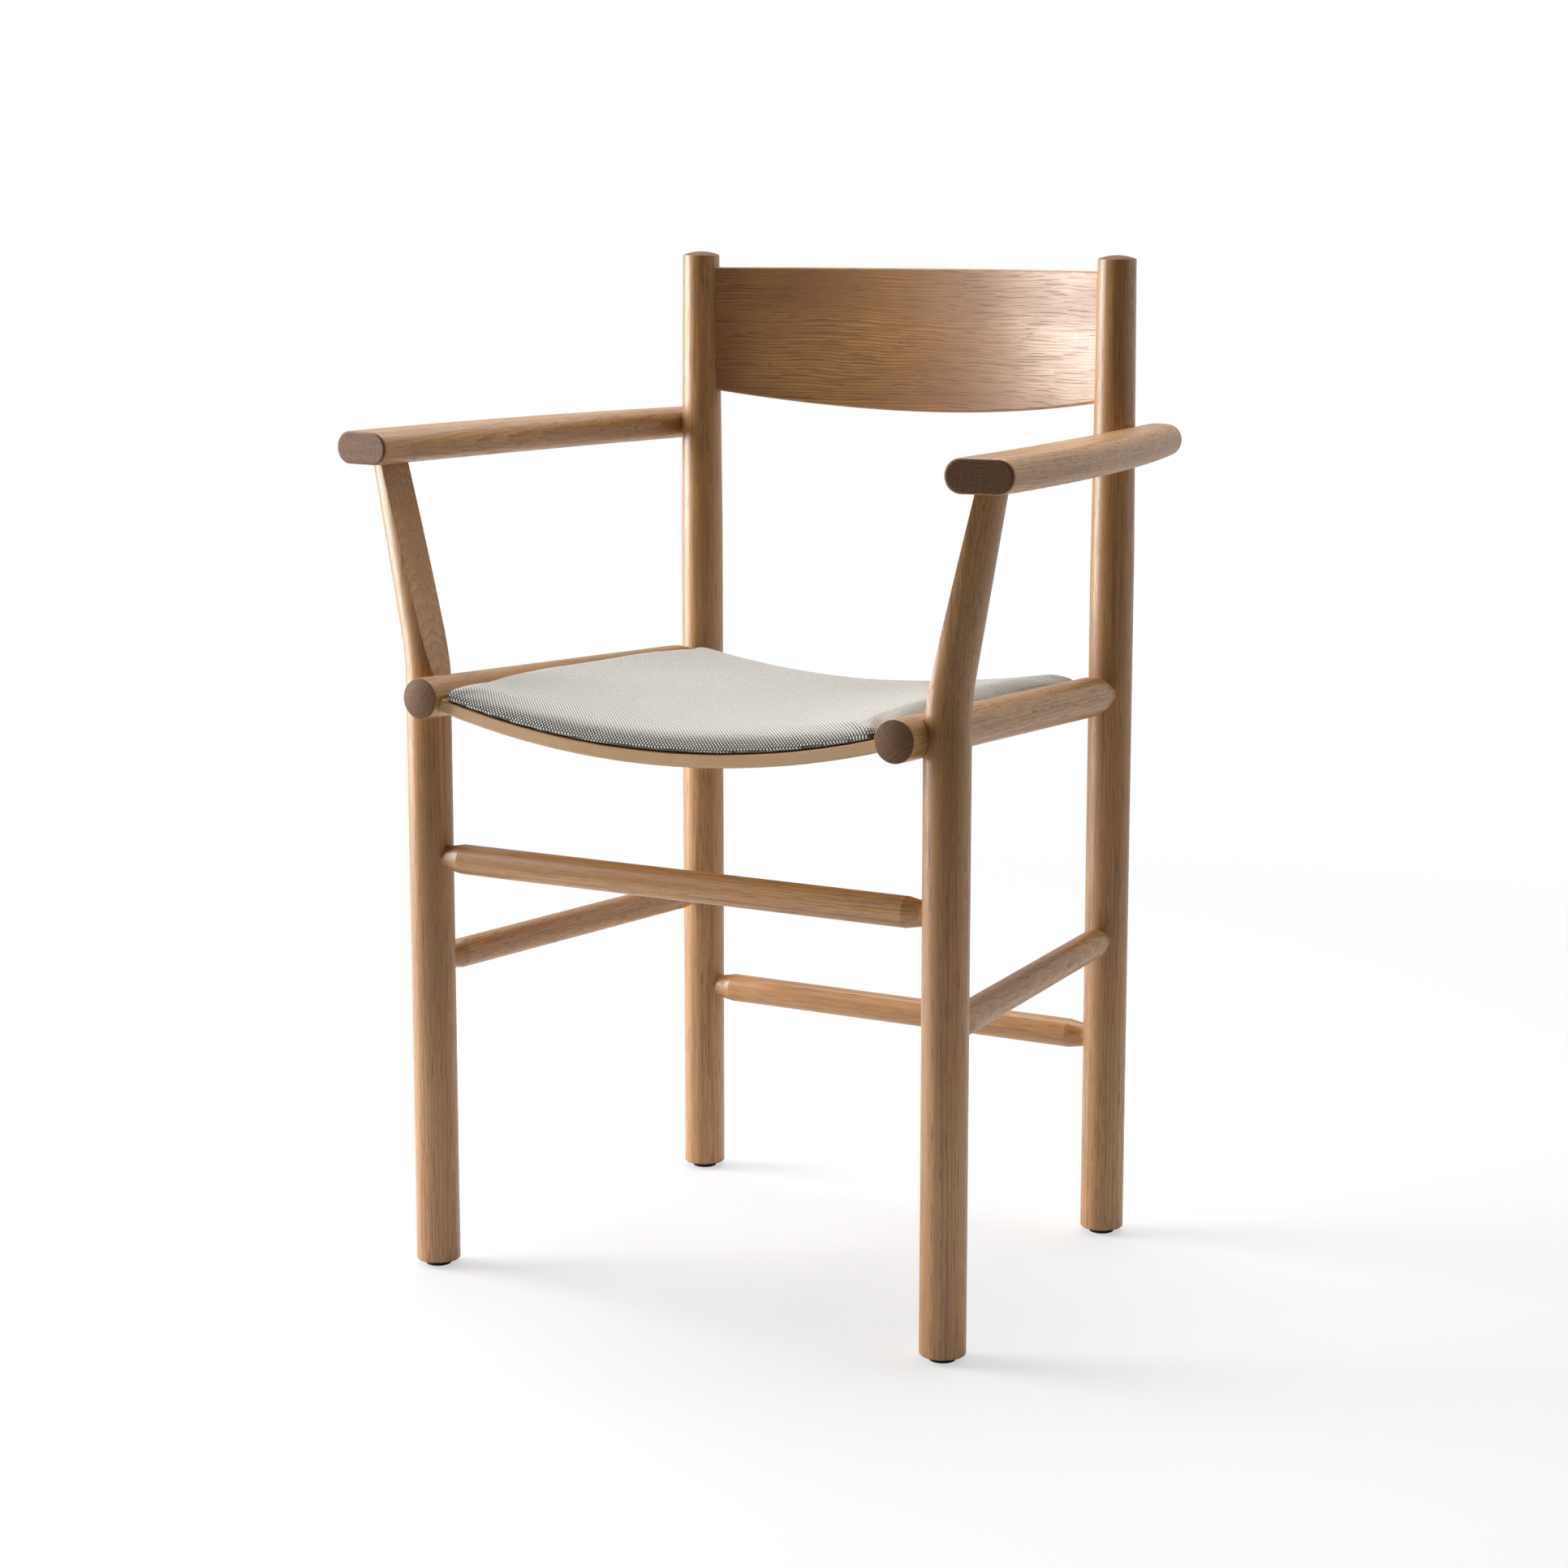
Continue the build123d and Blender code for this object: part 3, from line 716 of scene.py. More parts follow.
@dataclass
class WoodFrame:
    """Legs, posts, rails, arms and stretchers of solid oak."""

    nodes: dict[str, bpy.types.Object]
    heart_off: float = 0.085
    kind_turn: float = 2.1
    side_turn: float = 1.3
    seed_rate: float = 10.0

    def dress_all(self) -> None:
        """Gives each piece oak of its own."""
        pairs = [
            ("front_leg", Grain.UPRIGHT, 1.0),
            ("rear_post", Grain.UPRIGHT, 1.0),
            ("seat_rail", Grain.DEEP, 1.04),
            ("armrest", Grain.DEEP, 1.0),
            ("side_stretcher", Grain.DEEP, 1.05),
        ]
        for count, (kind, grain, shade) in enumerate(pairs):
            for step, side in enumerate(("left", "right")):
                turn = self.kind_turn * count + self.side_turn * step
                self.dress_piece(f"{kind}_{side}", grain, turn, shade)
        self.dress_piece("front_stretcher", Grain.ACROSS, turn=4.4, shade=1.05)
        self.dress_piece("rear_stretcher", Grain.ACROSS, turn=5.9, shade=1.1)

    def dress_piece(self, name: str, grain: Grain, turn: float, shade: float) -> None:
        """Gives one piece oak whose heart lies to its own side.

        Args:
            name: Name of the node.
            grain: Axis that the grain follows.
            turn: Direction of the heart, in radians.
            shade: Brightness of this piece among the others.
        """
        low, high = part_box(name)
        middle = (low + high) / 2
        first, second = (middle[axis] for axis in grain.others)
        heart = (first + self.heart_off * math.cos(turn), second + self.heart_off * math.sin(turn))
        dress(self.nodes[name], OAK.solid(f"oak_{name}", grain, heart, self.seed_rate * turn, shade))


@dataclass
class SeatBend:
    """Bend of the seat, which the shell and the pad follow."""

    radius: float = 0.745
    front: float = -0.2115
    front_middle: float = 0.43515
    slope: float = -0.01394

    @property
    def axis(self) -> Triple:
        """Height of the bend's axis at the front, where that is, and its slope."""
        return self.front_middle + self.radius, self.front, self.slope

    def surface(self, x: np.ndarray, y: np.ndarray, rise: np.ndarray) -> np.ndarray:
        """Lifts points from the shell's middle surface along its normal.

        Args:
            x: Places across the chair on the middle surface.
            y: Places along the chair.
            rise: Heights above the middle surface.

        Returns:
            The points, one row each.
        """
        lean = np.arcsin(x / self.radius)
        axis = self.axis[0] + self.slope * (y - self.front)
        reach = self.radius - rise
        return np.stack([reach * np.sin(lean), y, axis - reach * np.cos(lean)], 1)

    def flatten(self, points: np.ndarray) -> tuple[np.ndarray, np.ndarray, np.ndarray]:
        """Finds the places of points on the shell's middle surface.

        Args:
            points: Points, one row each.

        Returns:
            Arc across the chair, place along it and rise above the surface.
        """
        axis = self.axis[0] + self.slope * (points[:, 1] - self.front)
        down = axis - points[:, 2]
        rise = self.radius - np.hypot(points[:, 0], down)
        return np.arctan2(points[:, 0], down) * self.radius, points[:, 1], rise


@dataclass
class BentPanels:
    """Seat shell, backrest and pad board of bent plywood."""

    nodes: dict[str, bpy.types.Object]
    seat: SeatBend
    back_radius: float = 0.43
    back_axis: float = -0.2153

    def dress_all(self) -> None:
        """Veneers the three panels."""
        oak = PlyFinish(VENEER)
        birch = PlyFinish(BIRCH, edge_pale=BIRCH.pale, edge_warm=BIRCH.warm)
        upright = (Bend.UPRIGHT_AXIS, self.back_radius, (self.back_axis, 0.0, 0.0))
        level = (Bend.LEVEL_AXIS, self.seat.radius, self.seat.axis)
        back = oak.panel("oak_veneer_backrest", *upright, seed=3.0, shade=1.0)
        dress(self.nodes["backrest_panel"], back)
        shell = oak.panel("oak_veneer_shell", *level, seed=8.0, shade=1.05)
        dress(self.nodes["seat_shell"], shell)
        board = birch.panel("birch_pad_board", *level, seed=5.0, shade=1.0)
        dress(self.nodes["pad_board"], board)


@dataclass
class SeatPad:
    """Thin foam pad in a woven cover, on the bent seat."""

    seat: SeatBend
    floor: float = 5.3 * MM
    edge_thickness: float = 17.5 * MM
    corner_thickness: float = 12.0 * MM
    thin_share: float = 0.8
    crown: float = 21.5 * MM
    crown_power: float = 2.2
    nose: float = 17.0 * MM
    under: float = 3.0 * MM
    low_share: float = 0.38
    corner_radius: float = 5.0 * MM
    draw_in: float = 2.0 * MM
    start_inset: float = 0.5 * MM
    rail_width: float = 32.0 * MM
    corner_points: int = 14
    side_points: int = 46
    nose_rings: int = 14
    top_rings: int = 26
    voxel: float = 4.0 * MM
    held_height: float = 9.0 * MM
    pressure: float = 4.0
    stiffness: float = 20.0
    bending: float = 1.0
    frames: int = 20
    swell_limit: float = 2.5 * MM
    smooth_steps: int = 3
    smooth_share: float = 0.5
    turn_width: float = 30.0 * MM
    # How far the surface turns from upward before the painted shade of the pad's sides starts, and over
    # how much it grows
    side_shade_from: float = 0.97
    side_shade_span: float = 0.35
    attribute: str = "weave"

    def __post_init__(self) -> None:
        """Reads the pad's outline from the frame."""
        low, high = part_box("pad_cover")
        self.front = low.y
        self.rear = high.y
        self.middle = (self.front + self.rear) / 2
        self.half_front = self.seat.radius * math.asin(high.x / self.seat.radius) + self.draw_in / 2
        rail_low, rail_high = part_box("seat_rail_right")
        self.taper = (rail_high.x - rail_low.x - self.rail_width) / (rail_high.y - rail_low.y)

    def half_width(self, y: np.ndarray) -> np.ndarray:
        """Gives half the pad's width, drawn in between the corners.

        Args:
            y: Places along the chair.

        Returns:
            One half width for each place.
        """
        share = (y - self.front) / (self.rear - self.front)
        waist = self.draw_in * np.sin(np.pi * np.clip(share, 0, 1))
        return self.half_front - self.taper * (y - self.front) - waist

    def outline(self) -> np.ndarray:
        """Gives the pad's outline, seen from above, with round corners.

        Returns:
            Points as rows of place across and along the chair.
        """
        inset = self.start_inset
        radius = self.corner_radius
        half_depth = (self.rear - self.front) / 2 - inset
        points = []
        for quarter, signs in enumerate(((1, 1), (-1, 1), (-1, -1), (1, -1))):
            for step in range(self.corner_points):
                angle = quarter * math.pi / 2 + math.pi / 2 * step / (self.corner_points - 1)
                points.append((*signs, radius * math.cos(angle), radius * math.sin(angle)))
        rounded = []
        for index, corner in enumerate(points):
            rounded.append(corner)
            after = points[(index + 1) % len(points)]
            if corner[:2] != after[:2]:
                for step in range(1, self.side_points):
                    share = step / self.side_points
                    ends = zip(corner, after)
                    rounded.append(tuple((1 - share) * first + share * last for first, last in ends))
        rows = np.array(rounded)
        y = self.middle + rows[:, 1] * (half_depth - radius) + rows[:, 3]
        x = rows[:, 0] * (self.half_width(y) - inset - radius) + rows[:, 2]
        return np.stack([x, y], 1)

    def edge_heights(self, outline: np.ndarray) -> np.ndarray:
        """Gives the pad's thickness round its outline, thin at the corners.

        Args:
            outline: Points of the outline.

        Returns:
            One thickness for each point.
        """
        side = 1 - np.abs(outline[:, 0]) / self.half_width(outline[:, 1])
        end = np.minimum(outline[:, 1] - self.front, self.rear - outline[:, 1]) / (self.rear - self.front)
        away = np.clip(np.maximum(side, 2 * end) / self.thin_share, 0, 1)
        gain = self.edge_thickness - self.corner_thickness
        return self.corner_thickness + gain * np.sin(away * np.pi / 2)

    def form(self) -> bpy.types.Mesh:
        """Builds the closed pad before it swells.

        Returns:
            Its mesh.
        """
        outline = self.outline()
        heights = self.edge_heights(outline)
        centre = np.array([0.0, self.middle])
        spokes = outline - centre
        reach = np.linalg.norm(spokes, axis=1)[:, None]
        # Rings of the underside, the rounded edge and the crowned top
        rings = []
        for ring in range(1, self.top_rings + 1):
            share = ring / self.top_rings
            flat = centre + spokes * (1 - self.under / reach) * share
            rings.append((flat, np.zeros(len(outline))))
        for ring in range(1, self.nose_rings):
            angle = math.pi * ring / self.nose_rings - math.pi / 2
            inset = (self.under if angle < 0 else self.nose) * (1 - math.cos(angle))
            part = self.low_share if angle < 0 else 1 - self.low_share
            flat = centre + spokes * (1 - inset / reach)
            rings.append((flat, heights * (self.low_share + part * math.sin(angle))))
        for ring in range(self.top_rings, 0, -1):
            share = ring / self.top_rings
            flat = centre + spokes * (1 - self.nose / reach) * share
            rings.append((flat, heights + (self.crown - heights) * (1 - share**self.crown_power)))
        flat = np.concatenate([ring[0] for ring in rings] + [centre[None], centre[None]])
        rise = np.concatenate([ring[1] for ring in rings] + [np.array([0.0, self.crown])])
        points = self.seat.surface(flat[:, 0], flat[:, 1], rise + self.floor)
        # Faces between the rings, and fans at the two middles
        count = len(outline)
        faces = []
        for ring in range(len(rings) - 1):
            low, high = ring * count, (ring + 1) * count
            for step in range(count):
                after = (step + 1) % count
                faces.append((low + step, low + after, high + after, high + step))
        bottom, top = len(points) - 2, len(points) - 1
        last = (len(rings) - 1) * count
        for step in range(count):
            after = (step + 1) % count
            faces.append((bottom, after, step))
            faces.append((top, last + step, last + after))
        mesh = bpy.data.meshes.new("pad_form")
        mesh.from_pydata(points.tolist(), [], faces)
        mesh.update()
        return mesh

    def remeshed(self) -> bpy.types.Object:
        """Evens out the form's faces with a voxel remesh.

        Returns:
            A new object of the even mesh.
        """
        rough = linked_object("pad_rough", self.form())
        remesh = rough.modifiers.new("even", "REMESH")
        remesh.mode = "VOXEL"
        remesh.voxel_size = self.voxel
        mesh = modified_mesh(rough)
        bpy.data.objects.remove(rough)
        return linked_object("seat_pad", mesh)

    def swell(self, piece: bpy.types.Object) -> None:
        """Blows up the cover like cloth over foam, within a limit, with its underside held by the board.

        Args:
            piece: The even pad.
        """
        start = mesh_points(piece.data)
        _, _, rise = self.seat.flatten(start)
        free = np.clip((rise - self.floor) / self.held_height, 0, 1)
        free = free * free * (3 - 2 * free)
        held = piece.vertex_groups.new(name="held")
        for index, share in enumerate(free):
            held.add([index], 1.0 - float(share), "REPLACE")
        cloth = piece.modifiers.new("swell", "CLOTH")
        cloth.settings.use_pressure = True
        cloth.settings.uniform_pressure_force = self.pressure
        cloth.settings.effector_weights.gravity = 0.0
        cloth.settings.vertex_group_mass = held.name
        cloth.settings.tension_stiffness = self.stiffness
        cloth.settings.compression_stiffness = self.stiffness
        cloth.settings.bending_stiffness = self.bending
        scene = bpy.context.scene
        for frame in range(1, self.frames + 1):
            scene.frame_set(frame)
        graph = bpy.context.evaluated_depsgraph_get()
        moved = mesh_points(piece.evaluated_get(graph).to_mesh()) - start
        piece.modifiers.remove(cloth)
        scene.frame_set(1)
        length = np.linalg.norm(moved, axis=1)
        scale = free * np.minimum(1.0, self.swell_limit / np.maximum(length, TINY))
        piece.data.vertices.foreach_set("co", (start + moved * scale[:, None]).ravel())
        piece.vertex_groups.clear()
        LOG.info("pad swelled by up to %.1f mm", float((length * scale).max()) / MM)

    def weave_places(self, mesh: bpy.types.Mesh) -> None:
        """Stores each point's place on the cloth, which runs on round the edges, and a share of painted
        shade that grows as the surface turns from upward, where the weave is also drawn open.

        Args:
            mesh: The finished pad.
        """
        across, along, rise = self.seat.flatten(mesh_points(mesh))
        inside_x = self.half_width(along) - np.abs(across)
        inside_y = (self.rear - self.front) / 2 - np.abs(along - self.middle)
        way_x = np.maximum(self.turn_width - inside_x, TINY)
        way_y = np.maximum(self.turn_width - inside_y, TINY)
        length = np.hypot(way_x, way_y)
        way_x = way_x / length * np.sign(across)
        way_y = way_y / length * np.sign(along - self.middle)
        shoulder = self.floor + self.edge_heights(np.stack([across, along], 1))
        inwards = np.maximum(self.nose - np.minimum(inside_x, inside_y), 0.0)
        below = np.maximum(shoulder - rise, 0.0)
        beyond = np.hypot(inwards, below) - inwards
        # Painted shade of the sides, growing as the surface turns away from upward; the weave is also
        # drawn open there
        upward = np.array([vertex.normal.z for vertex in mesh.vertices])
        drawn_and_shaded = np.clip((self.side_shade_from - upward) / self.side_shade_span, 0.0, 1.0)
        places = np.stack([across + way_x * beyond, along + way_y * beyond, drawn_and_shaded], 1)
        layer = mesh.attributes.new(self.attribute, "FLOAT_VECTOR", "POINT")
        layer.data.foreach_set("vector", places.astype(np.float32).ravel())

    def build(self) -> None:
        """Makes the pad and puts it on the seat."""
        piece = self.remeshed()
        self.swell(piece)
        smooth = piece.modifiers.new("even", "SMOOTH")
        smooth.iterations = self.smooth_steps
        smooth.factor = self.smooth_share
        finer = piece.modifiers.new("finer", "SUBSURF")
        finer.levels = 1
        finer.render_levels = 1
        mesh = modified_mesh(piece)
        piece.modifiers.clear()
        piece.data = mesh
        mesh.polygons.foreach_set("use_smooth", [True] * len(mesh.polygons))
        self.weave_places(mesh)
        mesh.materials.clear()
        mesh.materials.append(WeaveFinish().material("woven_cover", self.attribute))
        settle(piece, "woven_cover", "pad_cover", "pad_foam")


class NodeSketch(TreeSketch):
    """A Geometry Nodes tree with named sizes, which turns points into a plain mesh."""

    def __init__(self, name: str, sizes: dict[str, float]) -> None:
        """Starts a tree that takes points and sizes.

        Args:
            name: Name of the tree.
            sizes: Named sizes and their values.
        """
        super().__init__(bpy.data.node_groups.new(name, "GeometryNodeTree"))
        ports = self.tree.interface
        ports.new_socket("Points", in_out="INPUT", socket_type="NodeSocketGeometry")
        self.sizes = {}
        for label, size in sizes.items():
            socket = ports.new_socket(label, in_out="INPUT", socket_type="NodeSocketFloat")
            socket.default_value = size
            self.sizes[socket.identifier] = size
        ports.new_socket("Mesh", in_out="OUTPUT", socket_type="NodeSocketGeometry")
        self.inputs = self.node("NodeGroupInput")
        self.outputs = self.node("NodeGroupOutput")

    def size(self, label: str) -> Socket:
        """Gives the socket of a named size."""
        return self.inputs.outputs[label]

    def close(self, shape: Socket, rotation: object, material: bpy.types.Material) -> None:
        """Puts the shape on every point, as real faces with a finish.

        Args:
            shape: Geometry of one copy.
            rotation: Its turn at each point.
            material: Its finish.
        """
        places = {"Points": self.inputs.outputs["Points"], "Rotation": rotation}
        copies = self.node("GeometryNodeInstanceOnPoints", Instance=shape, **places)
        real = self.node("GeometryNodeRealizeInstances", Geometry=copies.outputs[0])
        dressed = self.node("GeometryNodeSetMaterial", Geometry=real.outputs[0], Material=material)
        self.feed(self.outputs.inputs[0], dressed.outputs[0])

    def run(self, name: str, points: bpy.types.Mesh) -> bpy.types.Object:
        """Runs the tree on points and keeps the plain mesh.

        Args:
            name: Name of the piece.
            points: Mesh whose vertices are the points.

        Returns:
            The piece.
        """
        piece = linked_object(name, points)
        modifier = piece.modifiers.new("copies", "NODES")
        modifier.node_group = self.tree
        for identifier, size in self.sizes.items():
            modifier[identifier] = size
        mesh = modified_mesh(piece)
        piece.modifiers.clear()
        piece.data = mesh
        return piece


@dataclass
class Glides:
    """Round glides under the legs: a plastic base and a felt disc."""

    feet: list[Vector]
    base_radius: float = 10.5 * MM
    base_height: float = 2.0 * MM
    felt_radius: float = 10.0 * MM
    felt_height: float = 2.5 * MM
    rim: float = 0.6 * MM
    round_points: int = 64
    wall_steps: int = 12

    def disc(
        self, name: str, radius: float, height: float, lift: float, material: bpy.types.Material
    ) -> bpy.types.Object:
        """Turns a disc with a round rim under every foot.

        Args:
            name: Name of the piece.
            radius: Radius of the disc.
            height: Its height.
            lift: Height of its underside above the floor.
            material: Its finish.

        Returns:
            The discs as one piece.
        """
        sizes = {"Radius": radius, "Height": height, "Rim": self.rim, "Lift": lift}
        sketch = NodeSketch(name, sizes)
        wide, tall, rim, raised = (sketch.size(label) for label in sizes)
        steps = {"Vertices": self.round_points, "Side_Segments": self.wall_steps}
        drum = sketch.node("GeometryNodeMeshCylinder", Radius=wide, Depth=tall, **steps)
        x, y, z = sketch.split(sketch.node("GeometryNodeInputPosition").outputs[0])
        half = sketch.times(tall, 0.5)
        core = sketch.minus(half, rim)
        over = sketch.math("MAXIMUM", sketch.minus(sketch.math("ABSOLUTE", z), core), 0.0)
        squares = sketch.minus(sketch.times(rim, rim), sketch.times(over, over))
        bulge = sketch.math("SQRT", sketch.math("MAXIMUM", squares, 0.0))
        scale = sketch.math("DIVIDE", sketch.plus(sketch.minus(wide, rim), bulge), wide)
        spot = sketch.join(
            sketch.times(x, scale), sketch.times(y, scale), sketch.plus(z, sketch.plus(half, raised))
        )
        turned = sketch.node("GeometryNodeSetPosition", Geometry=drum.outputs[0], Position=spot)
        sketch.close(turned.outputs[0], (0.0, 0.0, 0.0), material)
        points = bpy.data.meshes.new(f"{name}_points")
        points.from_pydata([tuple(foot) for foot in self.feet], [], [])
        return sketch.run(name, points)

    def build(self) -> None:
        """Makes the bases and the felts."""
        plastic = GLIDE_PLASTIC.material("glide_plastic")
        base = self.disc("glide_base_discs", self.base_radius, self.base_height, self.felt_height, plastic)
        settle(base, "glide_plastic", "glide_bases")
        wool = FELT.material("glide_felt")
        felt = self.disc("glide_felt_discs", self.felt_radius, self.felt_height, 0.0, wool)
        settle(felt, "felt", "glide_felts")


@dataclass
class PadFixings:
    """Staples, screws and nuts that hold the pad together and to the shell, and the frame's dowels."""

    nodes: dict[str, bpy.types.Object]
    seat: SeatBend
    pad: SeatPad
    per_side: int = 8
    crown: float = 10.0 * MM
    wire: float = 0.6 * MM
    width: float = 1.2 * MM
    reach: float = 4.7 * MM
    row_inset: float = 28.0 * MM
    dowel_heart: Pair = (0.0, 0.06)
    dowel_seed: float = 2.0

    def row_end(self, y: float) -> float:
        """Gives how far across the chair the staples reach at a place along it."""
        return float(self.pad.half_width(np.array([y]))[0]) - self.row_inset

    def staple_points(self) -> bpy.types.Mesh:
        """Places the staples along the cover's turned edge.

        Returns:
            Mesh of points with each staple's turn and lean.
        """
        front = self.pad.front + self.row_inset
        rear = self.pad.rear - self.row_inset
        rows = []
        for step in range(self.per_side):
            share = (step + 0.5) / self.per_side
            for y in (front, rear):
                rows.append(((self.row_end(y) - self.crown) * (2 * share - 1), y, 0.0))
            y = front + self.crown + (rear - front - 2 * self.crown) * share
            rows += [(-self.row_end(y), y, math.pi / 2), (self.row_end(y), y, math.pi / 2)]
        x, y, turn = np.array(rows).T
        points = self.seat.surface(x, y, np.full(len(rows), self.pad.floor))
        mesh = bpy.data.meshes.new("staple_points")
        mesh.from_pydata(points.tolist(), [], [])
        lean = -np.arcsin(x / self.seat.radius)
        euler = np.stack([np.where(turn > 0, -lean, 0.0), np.where(turn > 0, 0.0, lean), turn], 1)
        turns = mesh.attributes.new("turn", "FLOAT_VECTOR", "POINT")
        turns.data.foreach_set("vector", euler.astype(np.float32).ravel())
        return mesh

    def staples(self) -> bpy.types.Object:
        """Bends the staples from flat wire.

        Returns:
            The staples as one piece.
        """
        sizes = {"Crown": self.crown, "Wire": self.wire, "Width": self.width, "Reach": self.reach}
        sketch = NodeSketch("staple_wires", sizes)
        crown, wire, width, reach = (sketch.size(label) for label in sizes)
        bar = sketch.node("GeometryNodeMeshCube", Size=sketch.join(crown, width, wire))
        leg = sketch.node("GeometryNodeMeshCube", Size=sketch.join(wire, width, reach))
        out = sketch.times(sketch.minus(crown, wire), 0.5)
        rise = sketch.times(reach, 0.5)
        places = [(bar, sketch.join(0.0, 0.0, sketch.times(wire, 0.5)))]
        places += [(leg, sketch.join(sketch.times(out, side), 0.0, rise)) for side in (-1.0, 1.0)]
        joined = sketch.node("GeometryNodeJoinGeometry")
        for part, spot in places:
            moved = sketch.node("GeometryNodeTransform", Geometry=part.outputs[0], Translation=spot)
            sketch.feed(joined.inputs[0], moved.outputs[0])
        turn = sketch.node("GeometryNodeInputNamedAttribute", Name="turn")
        turn.data_type = "FLOAT_VECTOR"
        rotation = sketch.node("FunctionNodeEulerToRotation", Euler=turn.outputs[0])
        sketch.close(joined.outputs[0], rotation.outputs[0], STEEL.material("staple_steel"))
        return sketch.run("cover_staples", self.staple_points())

    def build(self) -> None:
        """Makes the staples and dresses the screws, nuts, glide nails and dowels."""
        settle(self.staples(), "steel", "pad_staples")
        zinc = STEEL.material("zinc_steel")
        for name in ("pad_screws", "pad_tee_nuts", "glide_nails"):
            dress(self.nodes[name], zinc)
        for count, name in enumerate(("rail_lap_dowels", "arm_rear_dowels", "arm_front_dowels")):
            grain = Grain.UPRIGHT if name == "arm_front_dowels" else Grain.ACROSS
            seed = self.dowel_seed * count
            dress(self.nodes[name], BEECH.solid(f"beech_{name}", grain, self.dowel_heart, seed, shade=1.0))


@dataclass(frozen=True)
class Lamp:
    """A soft box that faces a point, with its power in watts."""

    name: str
    place: Triple
    target: Triple
    size: Pair
    power: float

    def hang(self) -> None:
        """Puts the lamp in the scene."""
        data = bpy.data.lights.new(self.name, "AREA")
        data.shape = "RECTANGLE"
        data.size, data.size_y = self.size
        data.energy = self.power
        lamp = bpy.data.objects.new(self.name, data)
        lamp.location = self.place
        lamp.rotation_mode = "QUATERNION"
        lamp.rotation_quaternion = (Vector(self.target) - Vector(self.place)).to_track_quat("-Z", "Y")
        bpy.context.scene.collection.objects.link(lamp)


LAMPS = (
    Lamp("left_window", place=(-2.17, -0.68, 1.0), target=(0.0, 0.0, 0.45), size=(1.5, 1.9), power=108.0),
    Lamp("overhead", place=(-0.3, 0.5, 2.6), target=(0.0, 0.0, 0.4), size=(2.0, 2.0), power=52.0),
    Lamp("right_edge", place=(2.0, 1.6, 1.2), target=(0.0, 0.0, 0.5), size=(0.6, 1.5), power=4.0),
)


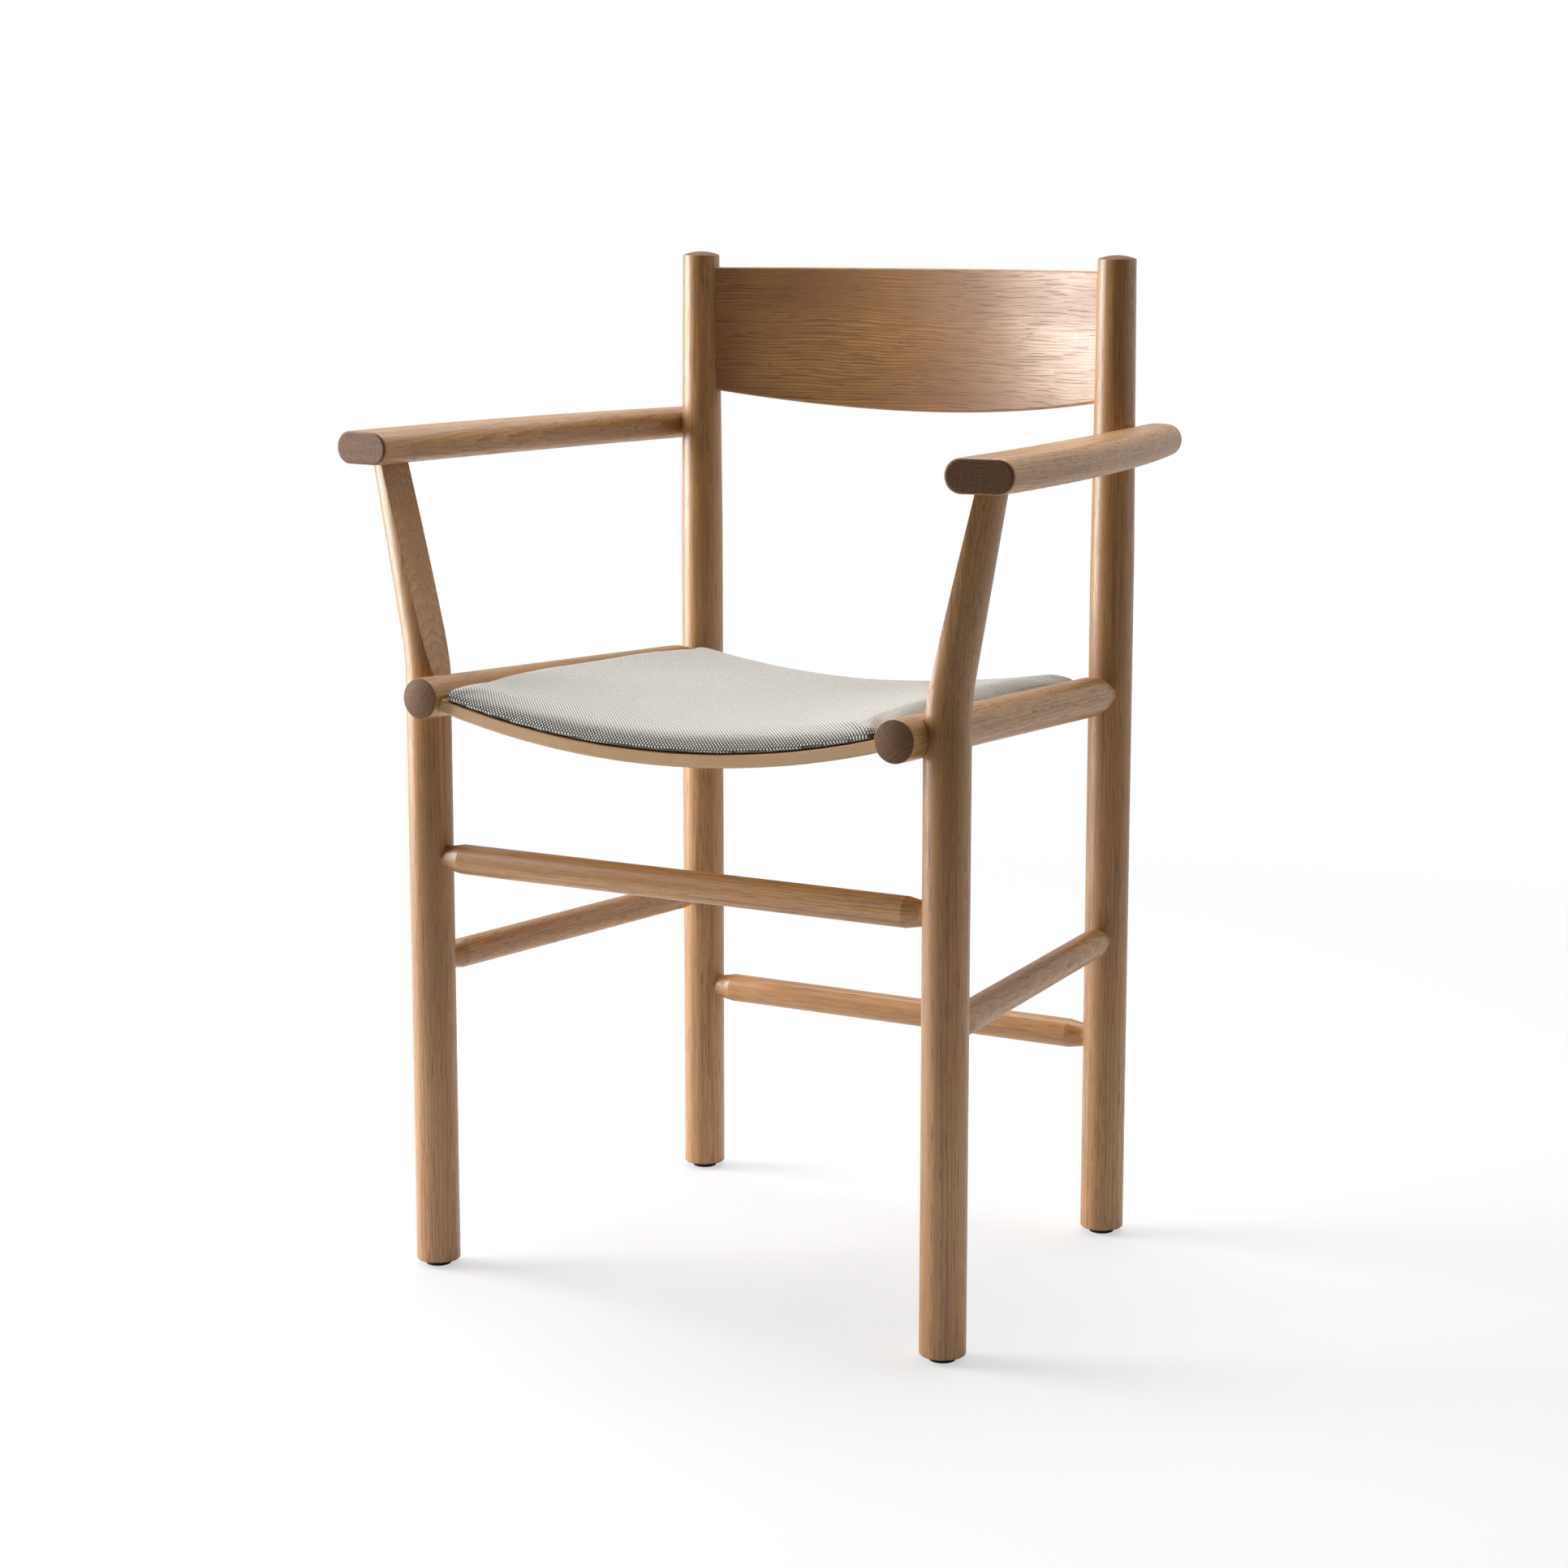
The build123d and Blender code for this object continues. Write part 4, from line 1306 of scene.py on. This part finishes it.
@dataclass
class Studio:
    """White floor, soft lamps and the camera at the photograph's angle."""

    camera_place: Triple = (1.3486, -2.3079, 0.8443)
    azimuth: float = 30.492
    pitch: float = 9.759
    lens: float = 78.2
    sensor: float = 36.0
    floor_radius: float = 6.0
    floor_fade: Pair = (0.9, 1.9)
    floor_white: float = 0.8
    floor_seen: float = 0.36
    floor_lift: float = 0.56
    room: float = 0.07
    backdrop: float = 0.7
    backdrop_span: Pair = (-0.4, 0.8)

    def floor(self) -> None:
        """Lays a white floor that keeps the chair's shadow, fades away and is clear from below."""
        mesh = bpy.data.meshes.new("floor")
        far = self.floor_radius
        corners = [(-far, -far, 0.0), (far, -far, 0.0), (far, far, 0.0), (-far, far, 0.0)]
        mesh.from_pydata(corners, [], [(0, 1, 2, 3)])
        piece = linked_object("floor", mesh)
        sketch = ShaderSketch("floor_white")
        rays = sketch.node("ShaderNodeLightPath").outputs["Is Camera Ray"]
        shade = sketch.mix(rays, (self.floor_white,) * 3, (self.floor_seen,) * 3)
        sketch.paint(Base_Color=shade, Roughness=1.0, Specular_IOR_Level=0.0)
        glow = sketch.node("ShaderNodeEmission", Strength=sketch.times(rays, self.floor_lift))
        both = sketch.node("ShaderNodeAddShader", sketch.surface.outputs[0], glow.outputs[0])
        x, y, _ = sketch.place()
        away = sketch.ramp(sketch.length(x, y), self.floor_fade)
        below = sketch.node("ShaderNodeNewGeometry").outputs["Backfacing"]
        clear = sketch.node("ShaderNodeBsdfTransparent").outputs[0]
        share = sketch.math("MAXIMUM", away, below)
        fade = sketch.node("ShaderNodeMixShader", share, both.outputs[0], clear)
        sketch.feed(sketch.output.inputs["Surface"], fade.outputs[0])
        mesh.materials.append(sketch.material)

    def world(self) -> None:
        """Makes the background white where it is seen, a bright backdrop and a dim room in front of it."""
        world = bpy.data.worlds.new("studio")
        bpy.context.scene.world = world
        world.use_nodes = True
        sketch = TreeSketch(world.node_tree)
        sketch.tree.nodes.clear()
        way = sketch.split(sketch.node("ShaderNodeTexCoord").outputs["Generated"])
        fill = sketch.ramp(way[1], self.backdrop_span, (self.room, self.backdrop))
        seen = sketch.node("ShaderNodeLightPath").outputs["Is Camera Ray"]
        strength = sketch.math("MAXIMUM", fill, seen)
        light = sketch.node("ShaderNodeBackground", Color=(1.0, 1.0, 1.0, 1.0), Strength=strength)
        sketch.node("ShaderNodeOutputWorld", Surface=light.outputs[0])

    def camera(self) -> None:
        """Puts the camera where the photograph was taken from."""
        data = bpy.data.cameras.new("camera")
        data.sensor_width = self.sensor
        data.lens = self.lens
        camera = bpy.data.objects.new("camera", data)
        camera.location = self.camera_place
        turn, down = math.radians(self.azimuth), math.radians(self.pitch)
        level = math.cos(down)
        ahead = Vector((-math.sin(turn) * level, math.cos(turn) * level, -math.sin(down)))
        camera.rotation_mode = "QUATERNION"
        camera.rotation_quaternion = ahead.to_track_quat("-Z", "Y")
        bpy.context.scene.collection.objects.link(camera)
        bpy.context.scene.camera = camera

    def build(self) -> None:
        """Sets up the whole studio."""
        bpy.context.scene.view_settings.view_transform = "Standard"
        self.floor()
        self.world()
        for lamp in LAMPS:
            lamp.hang()
        self.camera()


def main() -> None:
    """Builds the chair's looks around its frame."""
    logging.basicConfig(level=logging.INFO, format="%(message)s")
    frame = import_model()
    nodes = frame["nodes"]
    seat = SeatBend()
    WoodFrame(nodes).dress_all()
    BentPanels(nodes, seat).dress_all()
    pad = SeatPad(seat)
    pad.build()
    PadFixings(nodes, seat, pad).build()
    feet = [Vector(mount["pos_m"]) for mount in frame["record"]["mounts"]]
    Glides(feet).build()
    Studio().build()


if __name__ == "__main__":
    main()
